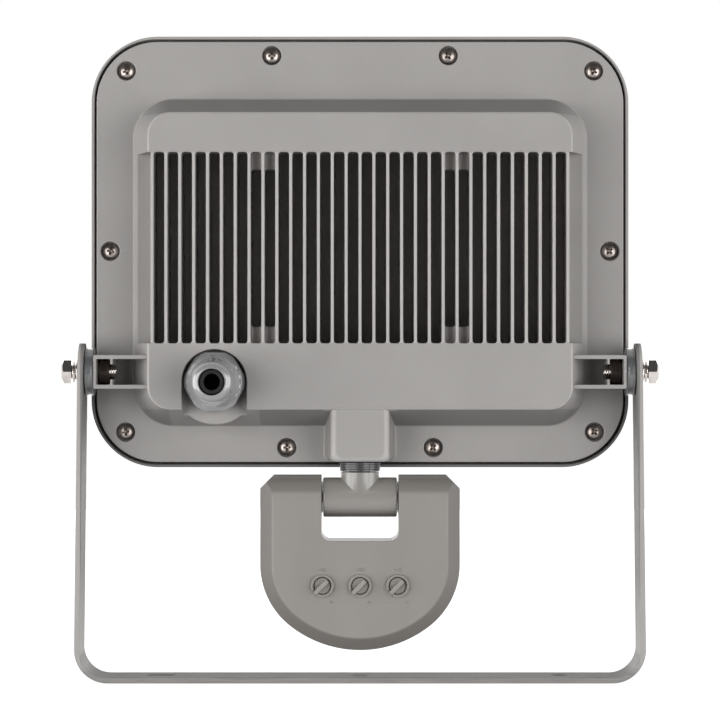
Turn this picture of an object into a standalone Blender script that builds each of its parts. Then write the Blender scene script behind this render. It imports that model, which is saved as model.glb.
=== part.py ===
"""LED floodlight with a motion sensor, hung in a steel strap bracket.

Units are metres, with +Z up. The glass faces -Y and the cooling fins face +Y.
The origin is the middle of the underside of the bracket's foot, and the bracket's
pivot axis runs along X, right above it.
"""
import math

import bmesh
import bpy
from mathutils import Matrix, Vector

# Running gap between pieces that touch, and clearances of fits
GAP = 0.0003
BORE_CLEARANCE = 0.0006
OVERLAP = 0.0005
CUT_PAST = 0.004

# Where the lamp hangs: pivot axis along X at Y = 0, above the foot and behind the flange
PIVOT_Z = 0.1360
PIVOT_ABOVE_FRAME = 0.0424
PIVOT_BEHIND_FLANGE = 0.0115

# Front frame
FRAME_HALF_WIDTH = 0.1192
FRAME_HALF_HEIGHT = 0.0956
FRAME_CORNER_RADIUS = 0.0295
FRAME_DEPTH = 0.022
FRAME_DRAFT = 0.0006
FRAME_EDGE_BEVEL = 0.0026
FRAME_RIM_WALL = 0.0012
FRAME_FRONT_WALL = 0.0035
FRAME_RIB_THICKNESS = 0.0020
FRAME_BOSS_RADIUS = 0.0036
WINDOW_BORDER = 0.0167
WINDOW_CORNER_RADIUS = 0.0165
WINDOW_BEVEL = 0.0026
GLASS_POCKET_STEP = 0.0045

# Flange of the rear housing, inside the frame's rim
FLANGE_SEAM = 0.0010
FLANGE_THICKNESS = 0.0060

# Plateau that carries the fins, with its margins to the frame's edges
PLATEAU_HEIGHT = 0.025
PLATEAU_SIDE_MARGIN = 0.0189
PLATEAU_BOTTOM_MARGIN = 0.0184
PLATEAU_TOP_MARGIN = 0.0279
PLATEAU_CORNER_RADIUS = 0.0175
PLATEAU_SLOPE_RUN = 0.0078
PLATEAU_EDGE = 0.0007

# Fins, with the slots' margins to the plateau's edges
SLOT_PITCH = 0.00605
SLOT_WIDTH = 0.00475
SLOT_BOTTOM_MARGIN = 0.0365
SLOT_TOP_MARGIN = 0.0249
SLOT_SIDE_MARGIN = 0.0009
SLOT_CORNER_RADIUS = 0.0013
SLOT_DEPTH = 0.0220
END_FIN_THICKNESS = 0.0012
SHOULDER_DEPTH = 0.0182
SHOULDER_FILLET = 0.0016
BOSS_SLOT = 7
BOSS_LENGTH = 0.0072
BOSS_DEPTH = 0.0080

# Hollow inside of the rear housing
POCKET_INSET = 0.0045
POCKET_CORNER_RADIUS = 0.0140
POCKET_DEPTH = 0.0050
CHAMBER_SIDE_WALL = 0.0143
CHAMBER_BOTTOM_WALL = 0.0095
CHAMBER_REAR_WALL = 0.0035
CHAMBER_TO_SLOTS = 0.0040
CHAMBER_TO_ALCOVE = 0.00395
UPPER_CHAMBER_WALL = 0.0114
GLAND_WALL = 0.0035
GLAND_THREAD_ROOM = 0.0015

# Screws that join housing and frame, in from the frame's side and its top or bottom edge;
# the side screws lie above the middle, and the bottom ones are counted from the sensor's boss
TOP_CORNER_SCREW = (0.0154, 0.0152)
TOP_SCREW = (0.0800, 0.0084)
SIDE_SCREW = (0.0083, 0.0003)
BOTTOM_CORNER_SCREW = (0.0150, 0.0156)
BOTTOM_SCREW = (0.0169, 0.0087)
SCREW_SHANK = 0.0040
SCREW_HEAD = 0.0070
SCREW_HEAD_HEIGHT = 0.0024
SCREW_LENGTH = 0.0120
SCREW_CROWN_SHARE = 0.4
COUNTERBORE = 0.0085
COUNTERBORE_DEPTH = 0.0040

# Pivot hardware
BOLT_DIAMETER = 0.0060
BOLT_LENGTH = 0.0195
BOLT_HEAD_FLATS = 0.0100
BOLT_HEAD_HEIGHT = 0.0044
NUT_HEIGHT = 0.0050
SPACER_DIAMETER = 0.0210
SPACER_THICKNESS = 0.0039
PLAIN_WASHER_DIAMETER = 0.0112
PLAIN_WASHER_THICKNESS = 0.0009
SPRING_WASHER_DIAMETER = 0.0096
SPRING_WASHER_THICKNESS = 0.0014

# Lug boxes that hold the pivot nuts
LUG_END_INSET = 0.0027
LUG_WALL = 0.0018
LUG_END_WALL = 0.0012
LUG_DIVIDER_WALL = 0.0010
NUT_SIDE_ROOM = 0.0006
NUT_END_ROOM = 0.0012

# Bracket strap
STRAP_THICKNESS = 0.0025
STRAP_WIDTH = 0.025
STRAP_SPREAD = 0.0014
STRAP_BEND_RADIUS = 0.0145
FOOT_CENTRE_HOLE = 0.0070
FOOT_SIDE_HOLE = 0.0063
FOOT_SIDE_HOLE_INSET = 0.0373
FOOT_SLOT_LENGTH = 0.0124

# Cable gland and its alcove
GLAND_FROM_SIDE = 0.0367
GLAND_FROM_BOTTOM = 0.0198
GLAND_THREAD = 0.0200
GLAND_THREAD_LENGTH = 0.0080
GLAND_FLATS = 0.0238
GLAND_HEX_HEIGHT = 0.0058
GLAND_CORNER_DIAMETER = 0.0268
GLAND_BORE = 0.0136
GLAND_SLEEVE = 0.0172
GLAND_SLEEVE_LENGTH = 0.0150
GLAND_CAP_DIAMETER = 0.0234
GLAND_CAP_GRIP = 0.0120
GLAND_CAP_LENGTH = 0.0268
GLAND_CAP_SHOULDER = 0.0176
GLAND_DOME_SHARE = 0.7
GLAND_CAP_RIDGES = 18
GLAND_RIDGE_DEPTH = 0.0007
GLAND_MOUTH = 0.0115
SEAL_BORE = 0.0071
SEAL_RECESS = 0.0016
O_RING_HEIGHT = 0.0012
O_RING_DIAMETER = 0.0230
ALCOVE_CLEARANCE = 0.00075
ALCOVE_PAD_HEIGHT = 0.0160
ALCOVE_PAD_BORDER = 0.00485

# Boss under the plateau that carries the sensor
SENSOR_BOSS_BASE_HALF = 0.0156
SENSOR_BOSS_TOP_HALF = 0.0124
SENSOR_BOSS_RISE = 0.0030
SENSOR_BOSS_STEP = 0.0010
SENSOR_BOSS_CORNER = 0.0030
SENSOR_BOSS_FLOOR = 0.0032
NECK_NUT_ROOM = 0.0006

# Inside: window, reflector and boards
GLASS_THICKNESS = 0.0040
GLASS_GASKET_HEIGHT = 0.0008
GLASS_GASKET_WIDTH = 0.0034
HOUSING_GASKET_HEIGHT = 0.0014
LED_BOARD_INSET = 0.0080
LED_BOARD_END_INSET = 0.0120
LED_BOARD_CORNER = 0.0060
LED_BOARD_THICKNESS = 0.0016
LED_PITCH_X = 0.0200
LED_PITCH_Z = 0.0180
LED_MARGIN = 0.0070
LED_WIDTH = 0.0035
LED_HEIGHT = 0.0028
LED_THICKNESS = 0.0008
WIRE_HOLE = 0.0060
WIRE_HOLE_INSET = 0.0058
BOARD_SCREW_SHANK = 0.0030
BOARD_SCREW_HEAD = 0.0056
BOARD_SCREW_HEAD_HEIGHT = 0.0018
BOARD_SCREW_LENGTH = 0.0080
REFLECTOR_INSET = 0.0060
REFLECTOR_BASE_CORNER = 0.0080
REFLECTOR_WALL = 0.0010
REFLECTOR_RIM = 0.0022
DRIVER_LENGTH = 0.0600
DRIVER_DEPTH = 0.0170
DRIVER_HEIGHT = 0.0190
DRIVER_CORNER = 0.0020
DRIVER_END_ROOM = 0.0030
TERMINAL_LENGTH = 0.0240
TERMINAL_DEPTH = 0.0120
TERMINAL_HEIGHT = 0.0140
TERMINAL_END_ROOM = 0.0020
TERMINAL_POLES = 3
TERMINAL_PORT = 0.0048

# Tee knuckle between lamp and sensor head
BARREL_DIAMETER = 0.0175
BARREL_HALF_LENGTH = 0.0162
STUB_DIAMETER = 0.0172
STUB_LENGTH = 0.0112
COLLAR_DIAMETER = 0.0179
COLLAR_HEIGHT = 0.0040
COLLAR_RIBS = 20
COLLAR_RIB_DEPTH = 0.0003
NECK_DIAMETER = 0.0100
NECK_NUT_FLATS = 0.0140
NECK_NUT_HEIGHT = 0.0040
NECK_PAST_NUT = 0.0015
WIRE_BORE = 0.0050
HINGE_SIDE_ROOM = 0.0007
HINGE_WASHER_DIAMETER = 0.0138
HINGE_WASHER_THICKNESS = 0.0004
HINGE_PIN_DIAMETER = 0.0040
HINGE_PIN_DEPTH = 0.0050
HINGE_PIN_HEAD = 0.0070
HINGE_PIN_HEAD_HEIGHT = 0.0016

# Sensor head: its outline is two side arcs and a wide arc below
HEAD_HALF_WIDTH = 0.0438
HEAD_DROP = 0.0669
HEAD_SIDE_ARC_INSET = 0.0095
HEAD_BOTTOM_ARC_EXTRA = 0.0058
HEAD_REAR_Y = 0.0102
HEAD_SPLIT_Y = -0.0030
HEAD_FRONT_Y = -0.0165
HEAD_BEVEL_WIDTH = 0.0058
HEAD_BEVEL_DEPTH = 0.0050
HEAD_FRONT_BEVEL = 0.0035
HEAD_ARM_RADIUS = 0.0100
HEAD_CORNER_CHAMFER = 0.0060
HEAD_HOOD_DROP = 0.0105
HEAD_WALL = 0.0020
NOTCH_DROP = 0.0188
NOTCH_RADIUS = 0.0040

# Controls on the sensor's rear face
KNOB_DROP = 0.0383
KNOB_SPACING = 0.0165
KNOB_DIAMETER = 0.0069
KNOB_SHAFT = 0.0038
KNOB_PROUD = 0.0004
KNOB_THICKNESS = 0.0018
POINTER_WIDTH = 0.0016
POINTER_REACH = 0.0044
POINTER_HEIGHT = 0.0010
POINTER_ANGLE = math.radians(225.0)
RING_OUTER = 0.0100
RING_INNER = 0.0080
RING_PROUD = 0.0014
RING_OPENING = math.radians(38.0)

# Inside the sensor head
SENSOR_BOARD_INSET = 0.0163
SENSOR_BOARD_BELOW = 0.0150
SENSOR_BOARD_ABOVE = 0.0135
SENSOR_BOARD_THICKNESS = 0.0016
BOARD_POST_RADIUS = 0.0025
BOARD_POST_INSET = (0.0035, 0.0040)
POT_SIZE = 0.0090
POT_HEIGHT = 0.0052
POT_TO_WALL = 0.0035
ELEMENT_DIAMETER = 0.0092
ELEMENT_HEIGHT = 0.0045
LENS_DROP = 0.0412
LENS_INSET = 0.0158
LENS_HALF_HEIGHT = 0.0175
LENS_BULGE = 0.0145
LENS_WALL = 0.0012
LENS_FLANGE = 0.0016

# Facets of round forms, and the angle below which an edge is shaded round
CORNER_STEPS = 8
INNER_CORNER_STEPS = 4
SMALL_CORNER_STEPS = 2
ROUND_STEPS = 28
SMALL_STEPS = 16
WASHER_STEPS = 14
SCREW_STEPS = 10
BORE_STEPS = 8
LENS_STEPS = 28
LENS_RINGS = 6
SMOOTH_ANGLE = math.radians(35)

# Levels of Y that follow from the sizes above
FLANGE_REAR_Y = -PIVOT_BEHIND_FLANGE
FLANGE_FRONT_Y = FLANGE_REAR_Y - FLANGE_THICKNESS
FRAME_FRONT_Y = FLANGE_REAR_Y - FRAME_DEPTH
LIP_BACK_Y = FRAME_FRONT_Y + FRAME_FRONT_WALL
PLATEAU_REAR_Y = FLANGE_REAR_Y + PLATEAU_HEIGHT
SLOT_FLOOR_Y = PLATEAU_REAR_Y - SLOT_DEPTH
BOSS_FLOOR_Y = PLATEAU_REAR_Y - BOSS_DEPTH
SHOULDER_Y = PLATEAU_REAR_Y - SHOULDER_DEPTH
POCKET_FLOOR_Y = FLANGE_FRONT_Y + POCKET_DEPTH
CHAMBER_REAR_Y = PLATEAU_REAR_Y - CHAMBER_REAR_WALL
GASKET_FRONT_Y = FLANGE_FRONT_Y - GAP - HOUSING_GASKET_HEIGHT
RIB_BACK_Y = GASKET_FRONT_Y - GAP
GLASS_FRONT_Y = LIP_BACK_Y + GAP + GLASS_GASKET_HEIGHT + GAP
GLASS_REAR_Y = GLASS_FRONT_Y + GLASS_THICKNESS
BOARD_REAR_Y = POCKET_FLOOR_Y - GAP
BOARD_FRONT_Y = BOARD_REAR_Y - LED_BOARD_THICKNESS
ALCOVE_PAD_Y = FLANGE_REAR_Y + ALCOVE_PAD_HEIGHT
SENSOR_BOSS_REAR_Y = PLATEAU_REAR_Y - SENSOR_BOSS_STEP
LUG_REAR_Y = PIVOT_BEHIND_FLANGE
SENSOR_BOARD_REAR_Y = HEAD_REAR_Y - HEAD_WALL - POT_TO_WALL - POT_HEIGHT - GAP
POT_REAR_Y = SENSOR_BOARD_REAR_Y + GAP + POT_HEIGHT

# Places of the frame, the window, the plateau, the slots and the hollows
BODY_BOTTOM_Z = PIVOT_Z - PIVOT_ABOVE_FRAME
BODY_MIDDLE_Z = BODY_BOTTOM_Z + FRAME_HALF_HEIGHT
BODY_TOP_Z = BODY_MIDDLE_Z + FRAME_HALF_HEIGHT
FLANGE_INSET = FRAME_RIM_WALL + FLANGE_SEAM
WINDOW_HALF_WIDTH = FRAME_HALF_WIDTH - WINDOW_BORDER
WINDOW_HALF_HEIGHT = FRAME_HALF_HEIGHT - WINDOW_BORDER
PLATEAU_HALF_WIDTH = FRAME_HALF_WIDTH - PLATEAU_SIDE_MARGIN
PLATEAU_BOTTOM_Z = BODY_BOTTOM_Z + PLATEAU_BOTTOM_MARGIN
PLATEAU_TOP_Z = BODY_TOP_Z - PLATEAU_TOP_MARGIN
FIN_FIELD_HALF_WIDTH = PLATEAU_HALF_WIDTH - PLATEAU_SLOPE_RUN - SLOT_SIDE_MARGIN
SLOT_COUNT = int(2 * FIN_FIELD_HALF_WIDTH / SLOT_PITCH)
BOSS_SLOTS = (BOSS_SLOT, BOSS_SLOT + 1, SLOT_COUNT - BOSS_SLOT - 2, SLOT_COUNT - BOSS_SLOT - 1)
SLOT_BOTTOM_Z = PLATEAU_BOTTOM_Z + SLOT_BOTTOM_MARGIN
SLOT_TOP_Z = PLATEAU_TOP_Z - SLOT_TOP_MARGIN
POCKET_HALF_WIDTH = WINDOW_HALF_WIDTH - POCKET_INSET
POCKET_HALF_HEIGHT = WINDOW_HALF_HEIGHT - POCKET_INSET
CHAMBER_HALF_WIDTH = PLATEAU_HALF_WIDTH - CHAMBER_SIDE_WALL
CHAMBER_BOTTOM_Z = PLATEAU_BOTTOM_Z + CHAMBER_BOTTOM_WALL
CHAMBER_TOP_Z = SLOT_BOTTOM_Z - CHAMBER_TO_SLOTS
UPPER_CHAMBER_BOTTOM_Z = SLOT_TOP_Z + CHAMBER_TO_SLOTS
UPPER_CHAMBER_TOP_Z = PLATEAU_TOP_Z - UPPER_CHAMBER_WALL
LED_BOARD_HALF_WIDTH = POCKET_HALF_WIDTH - LED_BOARD_INSET
LED_BOARD_HALF_HEIGHT = POCKET_HALF_HEIGHT - LED_BOARD_END_INSET
LED_COLUMNS = int(2 * (LED_BOARD_HALF_WIDTH - LED_MARGIN) / LED_PITCH_X)
LED_ROWS = int(2 * (LED_BOARD_HALF_HEIGHT - LED_MARGIN) / LED_PITCH_Z)
FRAME_SCREWS = (
    (FRAME_HALF_WIDTH - TOP_CORNER_SCREW[0], BODY_TOP_Z - TOP_CORNER_SCREW[1]),
    (FRAME_HALF_WIDTH - TOP_SCREW[0], BODY_TOP_Z - TOP_SCREW[1]),
    (FRAME_HALF_WIDTH - SIDE_SCREW[0], BODY_MIDDLE_Z + SIDE_SCREW[1]),
    (FRAME_HALF_WIDTH - BOTTOM_CORNER_SCREW[0], BODY_BOTTOM_Z + BOTTOM_CORNER_SCREW[1]),
    (SENSOR_BOSS_BASE_HALF + BOTTOM_SCREW[0], BODY_BOTTOM_Z + BOTTOM_SCREW[1]),
)

# Places of the gland, the lugs and the strap
ALCOVE_RADIUS = GLAND_CORNER_DIAMETER / 2 + ALCOVE_CLEARANCE
ALCOVE_PAD_RADIUS = ALCOVE_RADIUS + ALCOVE_PAD_BORDER
GLAND_X = PLATEAU_HALF_WIDTH - GLAND_FROM_SIDE
GLAND_Z = PLATEAU_BOTTOM_Z + GLAND_FROM_BOTTOM
CHAMBER_GLAND_SIDE_X = GLAND_X - ALCOVE_RADIUS - CHAMBER_TO_ALCOVE
CHAMBER_GLAND_BOTTOM_Z = GLAND_Z - GLAND_THREAD / 2 - GLAND_THREAD_ROOM
LUG_END_X = FRAME_HALF_WIDTH - LUG_END_INSET
LUG_INNER_HEIGHT = BOLT_HEAD_FLATS + 2 * NUT_SIDE_ROOM
LUG_DIVIDER_X = LUG_END_X - LUG_END_WALL - NUT_HEIGHT - NUT_END_ROOM - LUG_DIVIDER_WALL
STRAP_INNER_AT_PIVOT = LUG_END_X + GAP + SPACER_THICKNESS + GAP
STRAP_HALF_AT_PIVOT = STRAP_INNER_AT_PIVOT + STRAP_THICKNESS
STRAP_HALF_AT_FOOT = STRAP_HALF_AT_PIVOT + STRAP_SPREAD
FOOT_SIDE_HOLE_X = STRAP_HALF_AT_FOOT - FOOT_SIDE_HOLE_INSET

# Places of the sensor
SENSOR_BOSS_BOTTOM_Z = BODY_BOTTOM_Z + SENSOR_BOSS_RISE
STUB_TOP_Z = SENSOR_BOSS_BOTTOM_Z - 2 * GAP - COLLAR_HEIGHT
HINGE_Z = STUB_TOP_Z - STUB_LENGTH
NOTCH_HALF_WIDTH = BARREL_HALF_LENGTH + HINGE_SIDE_ROOM
NOTCH_BOTTOM_Z = HINGE_Z - NOTCH_DROP
HEAD_TOP_Z = HINGE_Z + HEAD_ARM_RADIUS
HEAD_BOTTOM_Z = HINGE_Z - HEAD_DROP
HEAD_SIDE_RADIUS = HEAD_HALF_WIDTH - HEAD_SIDE_ARC_INSET
HEAD_BOTTOM_RADIUS = HEAD_HALF_WIDTH + HEAD_BOTTOM_ARC_EXTRA
KNOB_Z = HINGE_Z - KNOB_DROP
SENSOR_BOARD_HALF_WIDTH = HEAD_HALF_WIDTH - SENSOR_BOARD_INSET
SENSOR_BOARD_BOTTOM_Z = KNOB_Z - SENSOR_BOARD_BELOW
SENSOR_BOARD_TOP_Z = KNOB_Z + SENSOR_BOARD_ABOVE
BOARD_POST_X = SENSOR_BOARD_HALF_WIDTH - BOARD_POST_INSET[0]
BOARD_POST_Z = (SENSOR_BOARD_BOTTOM_Z + BOARD_POST_INSET[1], SENSOR_BOARD_TOP_Z - BOARD_POST_INSET[1])
LENS_Z = HINGE_Z - LENS_DROP
LENS_WIDTH_RATIO = (HEAD_HALF_WIDTH - LENS_INSET) / LENS_HALF_HEIGHT

# Which way the flat outlines are laid: (across, up, along)
LAY_Y = Matrix(((1, 0, 0, 0), (0, 0, 1, 0), (0, 1, 0, 0), (0, 0, 0, 1)))
LAY_X = Matrix(((0, 0, 1, 0), (1, 0, 0, 0), (0, 1, 0, 0), (0, 0, 0, 1)))
LAY_Z = Matrix.Identity(4)


def start_scene():
    """Empty the scene and make one collection for the parts and one for the cutters."""
    for obj in list(bpy.data.objects):
        bpy.data.objects.remove(obj)
    folders = []
    for name in ("led_floodlight", "cutters"):
        folder = bpy.data.collections.new(name)
        bpy.context.scene.collection.children.link(folder)
        folders.append(folder)
    return folders


PARTS, CUTTERS = start_scene()


def weld(mesh):
    """Join points that lie on each other and turn every face outward."""
    work = bmesh.new()
    work.from_mesh(mesh)
    bmesh.ops.remove_doubles(work, verts=work.verts, dist=1e-6)
    bmesh.ops.recalc_face_normals(work, faces=work.faces)
    work.to_mesh(mesh)
    work.free()


def body(name, mesh):
    """Make a working object of a mesh, kept with the cutters until it is finished."""
    obj = bpy.data.objects.new(name, mesh)
    obj.hide_render = True
    obj.display_type = 'WIRE'
    CUTTERS.objects.link(obj)
    return obj


def evaluated(obj):
    """Return a new mesh of an object with its modifiers done."""
    graph = bpy.context.evaluated_depsgraph_get()
    return bpy.data.meshes.new_from_object(obj.evaluated_get(graph))


def settle(obj):
    """Replace an object's mesh by the result of its modifiers."""
    mesh = evaluated(obj)
    obj.modifiers.clear()
    obj.data = mesh
    return obj


def combine(target, others, operation):
    """Join others to the target or cut them from it, one after another."""
    for other in others:
        step = target.modifiers.new(operation.lower(), 'BOOLEAN')
        step.operation = operation
        step.solver = 'EXACT'
        step.object = other
        settle(target)
        bpy.data.objects.remove(other)
    return target


def join(target, *others):
    """Fuse solids into the target."""
    return combine(target, others, 'UNION')


def cut(target, *others):
    """Cut solids out of the target."""
    return combine(target, others, 'DIFFERENCE')


def flat(name, outlines, low, high, lay):
    """Extrude flat outlines from one level to another; the first is the outside, the rest are holes."""
    curve = bpy.data.curves.new(name, 'CURVE')
    curve.dimensions = '2D'
    curve.fill_mode = 'BOTH'
    curve.extrude = (high - low) / 2
    for outline in outlines:
        spline = curve.splines.new('POLY')
        spline.points.add(len(outline) - 1)
        for point, (across, up) in zip(spline.points, outline):
            point.co = (across, up, 0, 1)
        spline.use_cyclic_u = True
    guide = body(name, curve)
    mesh = evaluated(guide)
    mesh.transform(lay @ Matrix.Translation((0, 0, (low + high) / 2)))
    weld(mesh)
    bpy.data.objects.remove(guide)
    return body(name, mesh)


def loft(name, rings, closed=False):
    """Skin rings of equal point counts; a closed loft joins the last ring to the first."""
    work = bmesh.new()
    loops = [[work.verts.new(point) for point in ring] for ring in rings]
    pairs = list(zip(loops, loops[1:]))
    if closed:
        pairs.append((loops[-1], loops[0]))
    else:
        work.faces.new(loops[0])
        work.faces.new(loops[-1])
    for one, two in pairs:
        for i in range(len(one)):
            j = (i + 1) % len(one)
            work.faces.new((one[i], one[j], two[j], two[i]))
    bmesh.ops.recalc_face_normals(work, faces=work.faces)
    mesh = bpy.data.meshes.new(name)
    work.to_mesh(mesh)
    work.free()
    return body(name, mesh)


def turned(name, profile, place, steps=ROUND_STEPS, ring=False):
    """Turn a profile of (radius, height) points, listed from top to bottom, about an axis.

    The axis is the local Z of the placing matrix. A ring's profile is closed.
    """
    mesh = bpy.data.meshes.new(name)
    points = [(radius, 0, height) for radius, height in profile]
    edges = [(i, i + 1) for i in range(len(points) - 1)]
    if ring:
        edges.append((len(points) - 1, 0))
    mesh.from_pydata(points, edges, [])
    obj = body(name, mesh)
    screw = obj.modifiers.new("turn", 'SCREW')
    screw.axis = 'Z'
    screw.steps = steps
    screw.render_steps = steps
    screw.use_merge_vertices = True
    screw.merge_threshold = 0.00001
    settle(obj)
    obj.data.transform(place)
    weld(obj.data)
    return obj


def box(name, low, high):
    """Make a block between two corners."""
    low, high = Vector(low), Vector(high)
    work = bmesh.new()
    bmesh.ops.create_cube(work, size=1.0)
    bmesh.ops.scale(work, vec=high - low, verts=work.verts)
    bmesh.ops.translate(work, vec=(low + high) / 2, verts=work.verts)
    mesh = bpy.data.meshes.new(name)
    work.to_mesh(mesh)
    work.free()
    return body(name, mesh)


def rod(name, place, radius, low, high, sides=SMALL_STEPS, phase=0.0):
    """Make a round or many-sided rod along the local Z of a placing matrix."""
    work = bmesh.new()
    turn = Matrix.Translation((0, 0, (low + high) / 2)) @ Matrix.Rotation(phase, 4, 'Z')
    bmesh.ops.create_cone(work, cap_ends=True, segments=sides, radius1=radius, radius2=radius,
                          depth=high - low, matrix=place @ turn)
    mesh = bpy.data.meshes.new(name)
    work.to_mesh(mesh)
    work.free()
    return body(name, mesh)


def along_x(x, y, z, side=1):
    """Place local Z along +X, or along -X for side -1."""
    return Matrix.Translation((x, y, z)) @ Matrix.Rotation(side * math.pi / 2, 4, 'Y')


def along_y(x, y, z):
    """Place local Z along +Y."""
    return Matrix.Translation((x, y, z)) @ Matrix.Rotation(-math.pi / 2, 4, 'X')


def along_z(x, y, z):
    """Place local Z along +Z."""
    return Matrix.Translation((x, y, z))


def arc(centre, radius, start, end, steps):
    """List points on an arc, both ends included, with angles in radians."""
    return [(centre[0] + radius * math.cos(start + (end - start) * i / steps),
             centre[1] + radius * math.sin(start + (end - start) * i / steps))
            for i in range(steps + 1)]


def circle(centre, radius, steps):
    """List points round a full circle."""
    return arc(centre, radius, 0, 2 * math.pi * (steps - 1) / steps, steps - 1)


def ribbed(centre, radius, depth, ribs):
    """List a circle whose edge rises and falls in ribs."""
    points = []
    for i in range(2 * ribs):
        reach = radius - (depth if i % 2 else 0.0)
        angle = math.pi * i / ribs
        points.append((centre[0] + reach * math.cos(angle), centre[1] + reach * math.sin(angle)))
    return points


def rounded(left, right, bottom, top, radius, steps=CORNER_STEPS):
    """List the outline of a rectangle with round corners."""
    quarter = math.pi / 2
    corners = ((right - radius, top - radius), (left + radius, top - radius),
               (left + radius, bottom + radius), (right - radius, bottom + radius))
    points = []
    for i, centre in enumerate(corners):
        points += arc(centre, radius, i * quarter, (i + 1) * quarter, steps)
    return points


def centred(half_width, half_height, radius, steps=CORNER_STEPS):
    """List a rounded rectangle about the body's middle."""
    return rounded(-half_width, half_width, BODY_MIDDLE_Z - half_height,
                   BODY_MIDDLE_Z + half_height, radius, steps)


def lift(outline, y):
    """Put an outline of (x, z) points at one level of Y."""
    return [(x, y, z) for x, z in outline]


def inside(half_width, half_height, radius, inset):
    """Move the sides of a rounded rectangle inward, with its corners on the same centres."""
    return half_width - inset, half_height - inset, radius - inset


def six_flats(across_flats):
    """Return the corner radius of a hexagon."""
    return across_flats / math.sqrt(3)


def mirrored(places):
    """Repeat places of one side on both sides."""
    return [(side * x, z) for x, z in places for side in (1, -1)]


def paint(name, colour, roughness, metallic=0.0, alpha=1.0):
    """Make a plain material."""
    material = bpy.data.materials.new(name)
    material.use_nodes = True
    shader = material.node_tree.nodes["Principled BSDF"]
    shader.inputs["Base Color"].default_value = (*colour, 1.0)
    shader.inputs["Roughness"].default_value = roughness
    shader.inputs["Metallic"].default_value = metallic
    shader.inputs["Alpha"].default_value = alpha
    return material


def finish(obj, name, look, origin=(0, 0, 0), parent=None, smooth=True):
    """Move a finished solid to the parts, name it, set its origin and give it its material."""
    obj.name = name
    obj.data.name = name
    weld(obj.data)
    centre = Vector(origin)
    obj.data.transform(Matrix.Translation(-centre))
    obj.location = centre
    obj.data.materials.clear()
    obj.data.materials.append(paint(name, *look))
    if smooth:
        obj.data.shade_smooth()
        obj.data.set_sharp_from_angle(angle=SMOOTH_ANGLE)
    obj.hide_render = False
    obj.display_type = 'TEXTURED'
    CUTTERS.objects.unlink(obj)
    PARTS.objects.link(obj)
    if parent:
        attach(obj, parent)
    return obj


def attach(obj, parent):
    """Hang an object from a parent and leave it where it is."""
    obj.parent = parent
    obj.matrix_parent_inverse = Matrix.Translation(-parent.matrix_world.translation)


def pivot_empty(name, place, parent=None):
    """Make an empty on a joint's axis."""
    empty = bpy.data.objects.new(name, None)
    empty.location = place
    PARTS.objects.link(empty)
    if parent:
        attach(empty, parent)
    bpy.context.view_layer.update()
    return empty


GREY_PAINT = ((0.35, 0.34, 0.335), 0.55, 0.1)
STRAP_PAINT = ((0.36, 0.355, 0.35), 0.5, 0.1)
STEEL = ((0.62, 0.60, 0.58), 0.25, 1.0)
BLACK_RUBBER = ((0.03, 0.03, 0.03), 0.8)
GREY_PLASTIC = ((0.30, 0.29, 0.27), 0.5)
SPACER_PLASTIC = ((0.13, 0.14, 0.15), 0.4)
GLAND_PLASTIC = ((0.31, 0.31, 0.32), 0.4)
WHITE_PLASTIC = ((0.8, 0.8, 0.78), 0.4)
BOARD_GREEN = ((0.02, 0.12, 0.05), 0.5)
CLEAR_GLASS = ((0.9, 0.95, 0.95), 0.02, 0.0, 0.2)


def side_span(side, low, high):
    """Return a span of X on one side, lowest value first."""
    return sorted((side * low, side * high))


def strap_side(radius, top_inset):
    """List one face of the strap on the +X side, from the foot's bend to the ear's top."""
    bend = (STRAP_HALF_AT_FOOT - STRAP_BEND_RADIUS, STRAP_BEND_RADIUS)
    ear_z = PIVOT_Z + STRAP_WIDTH / 2
    lean = (STRAP_HALF_AT_PIVOT - STRAP_HALF_AT_FOOT) / (PIVOT_Z - STRAP_BEND_RADIUS)
    top_x = STRAP_HALF_AT_PIVOT + lean * (ear_z - PIVOT_Z)
    return arc(bend, radius, -math.pi / 2, 0.0, CORNER_STEPS) + [(top_x - top_inset, ear_z)]


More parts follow.
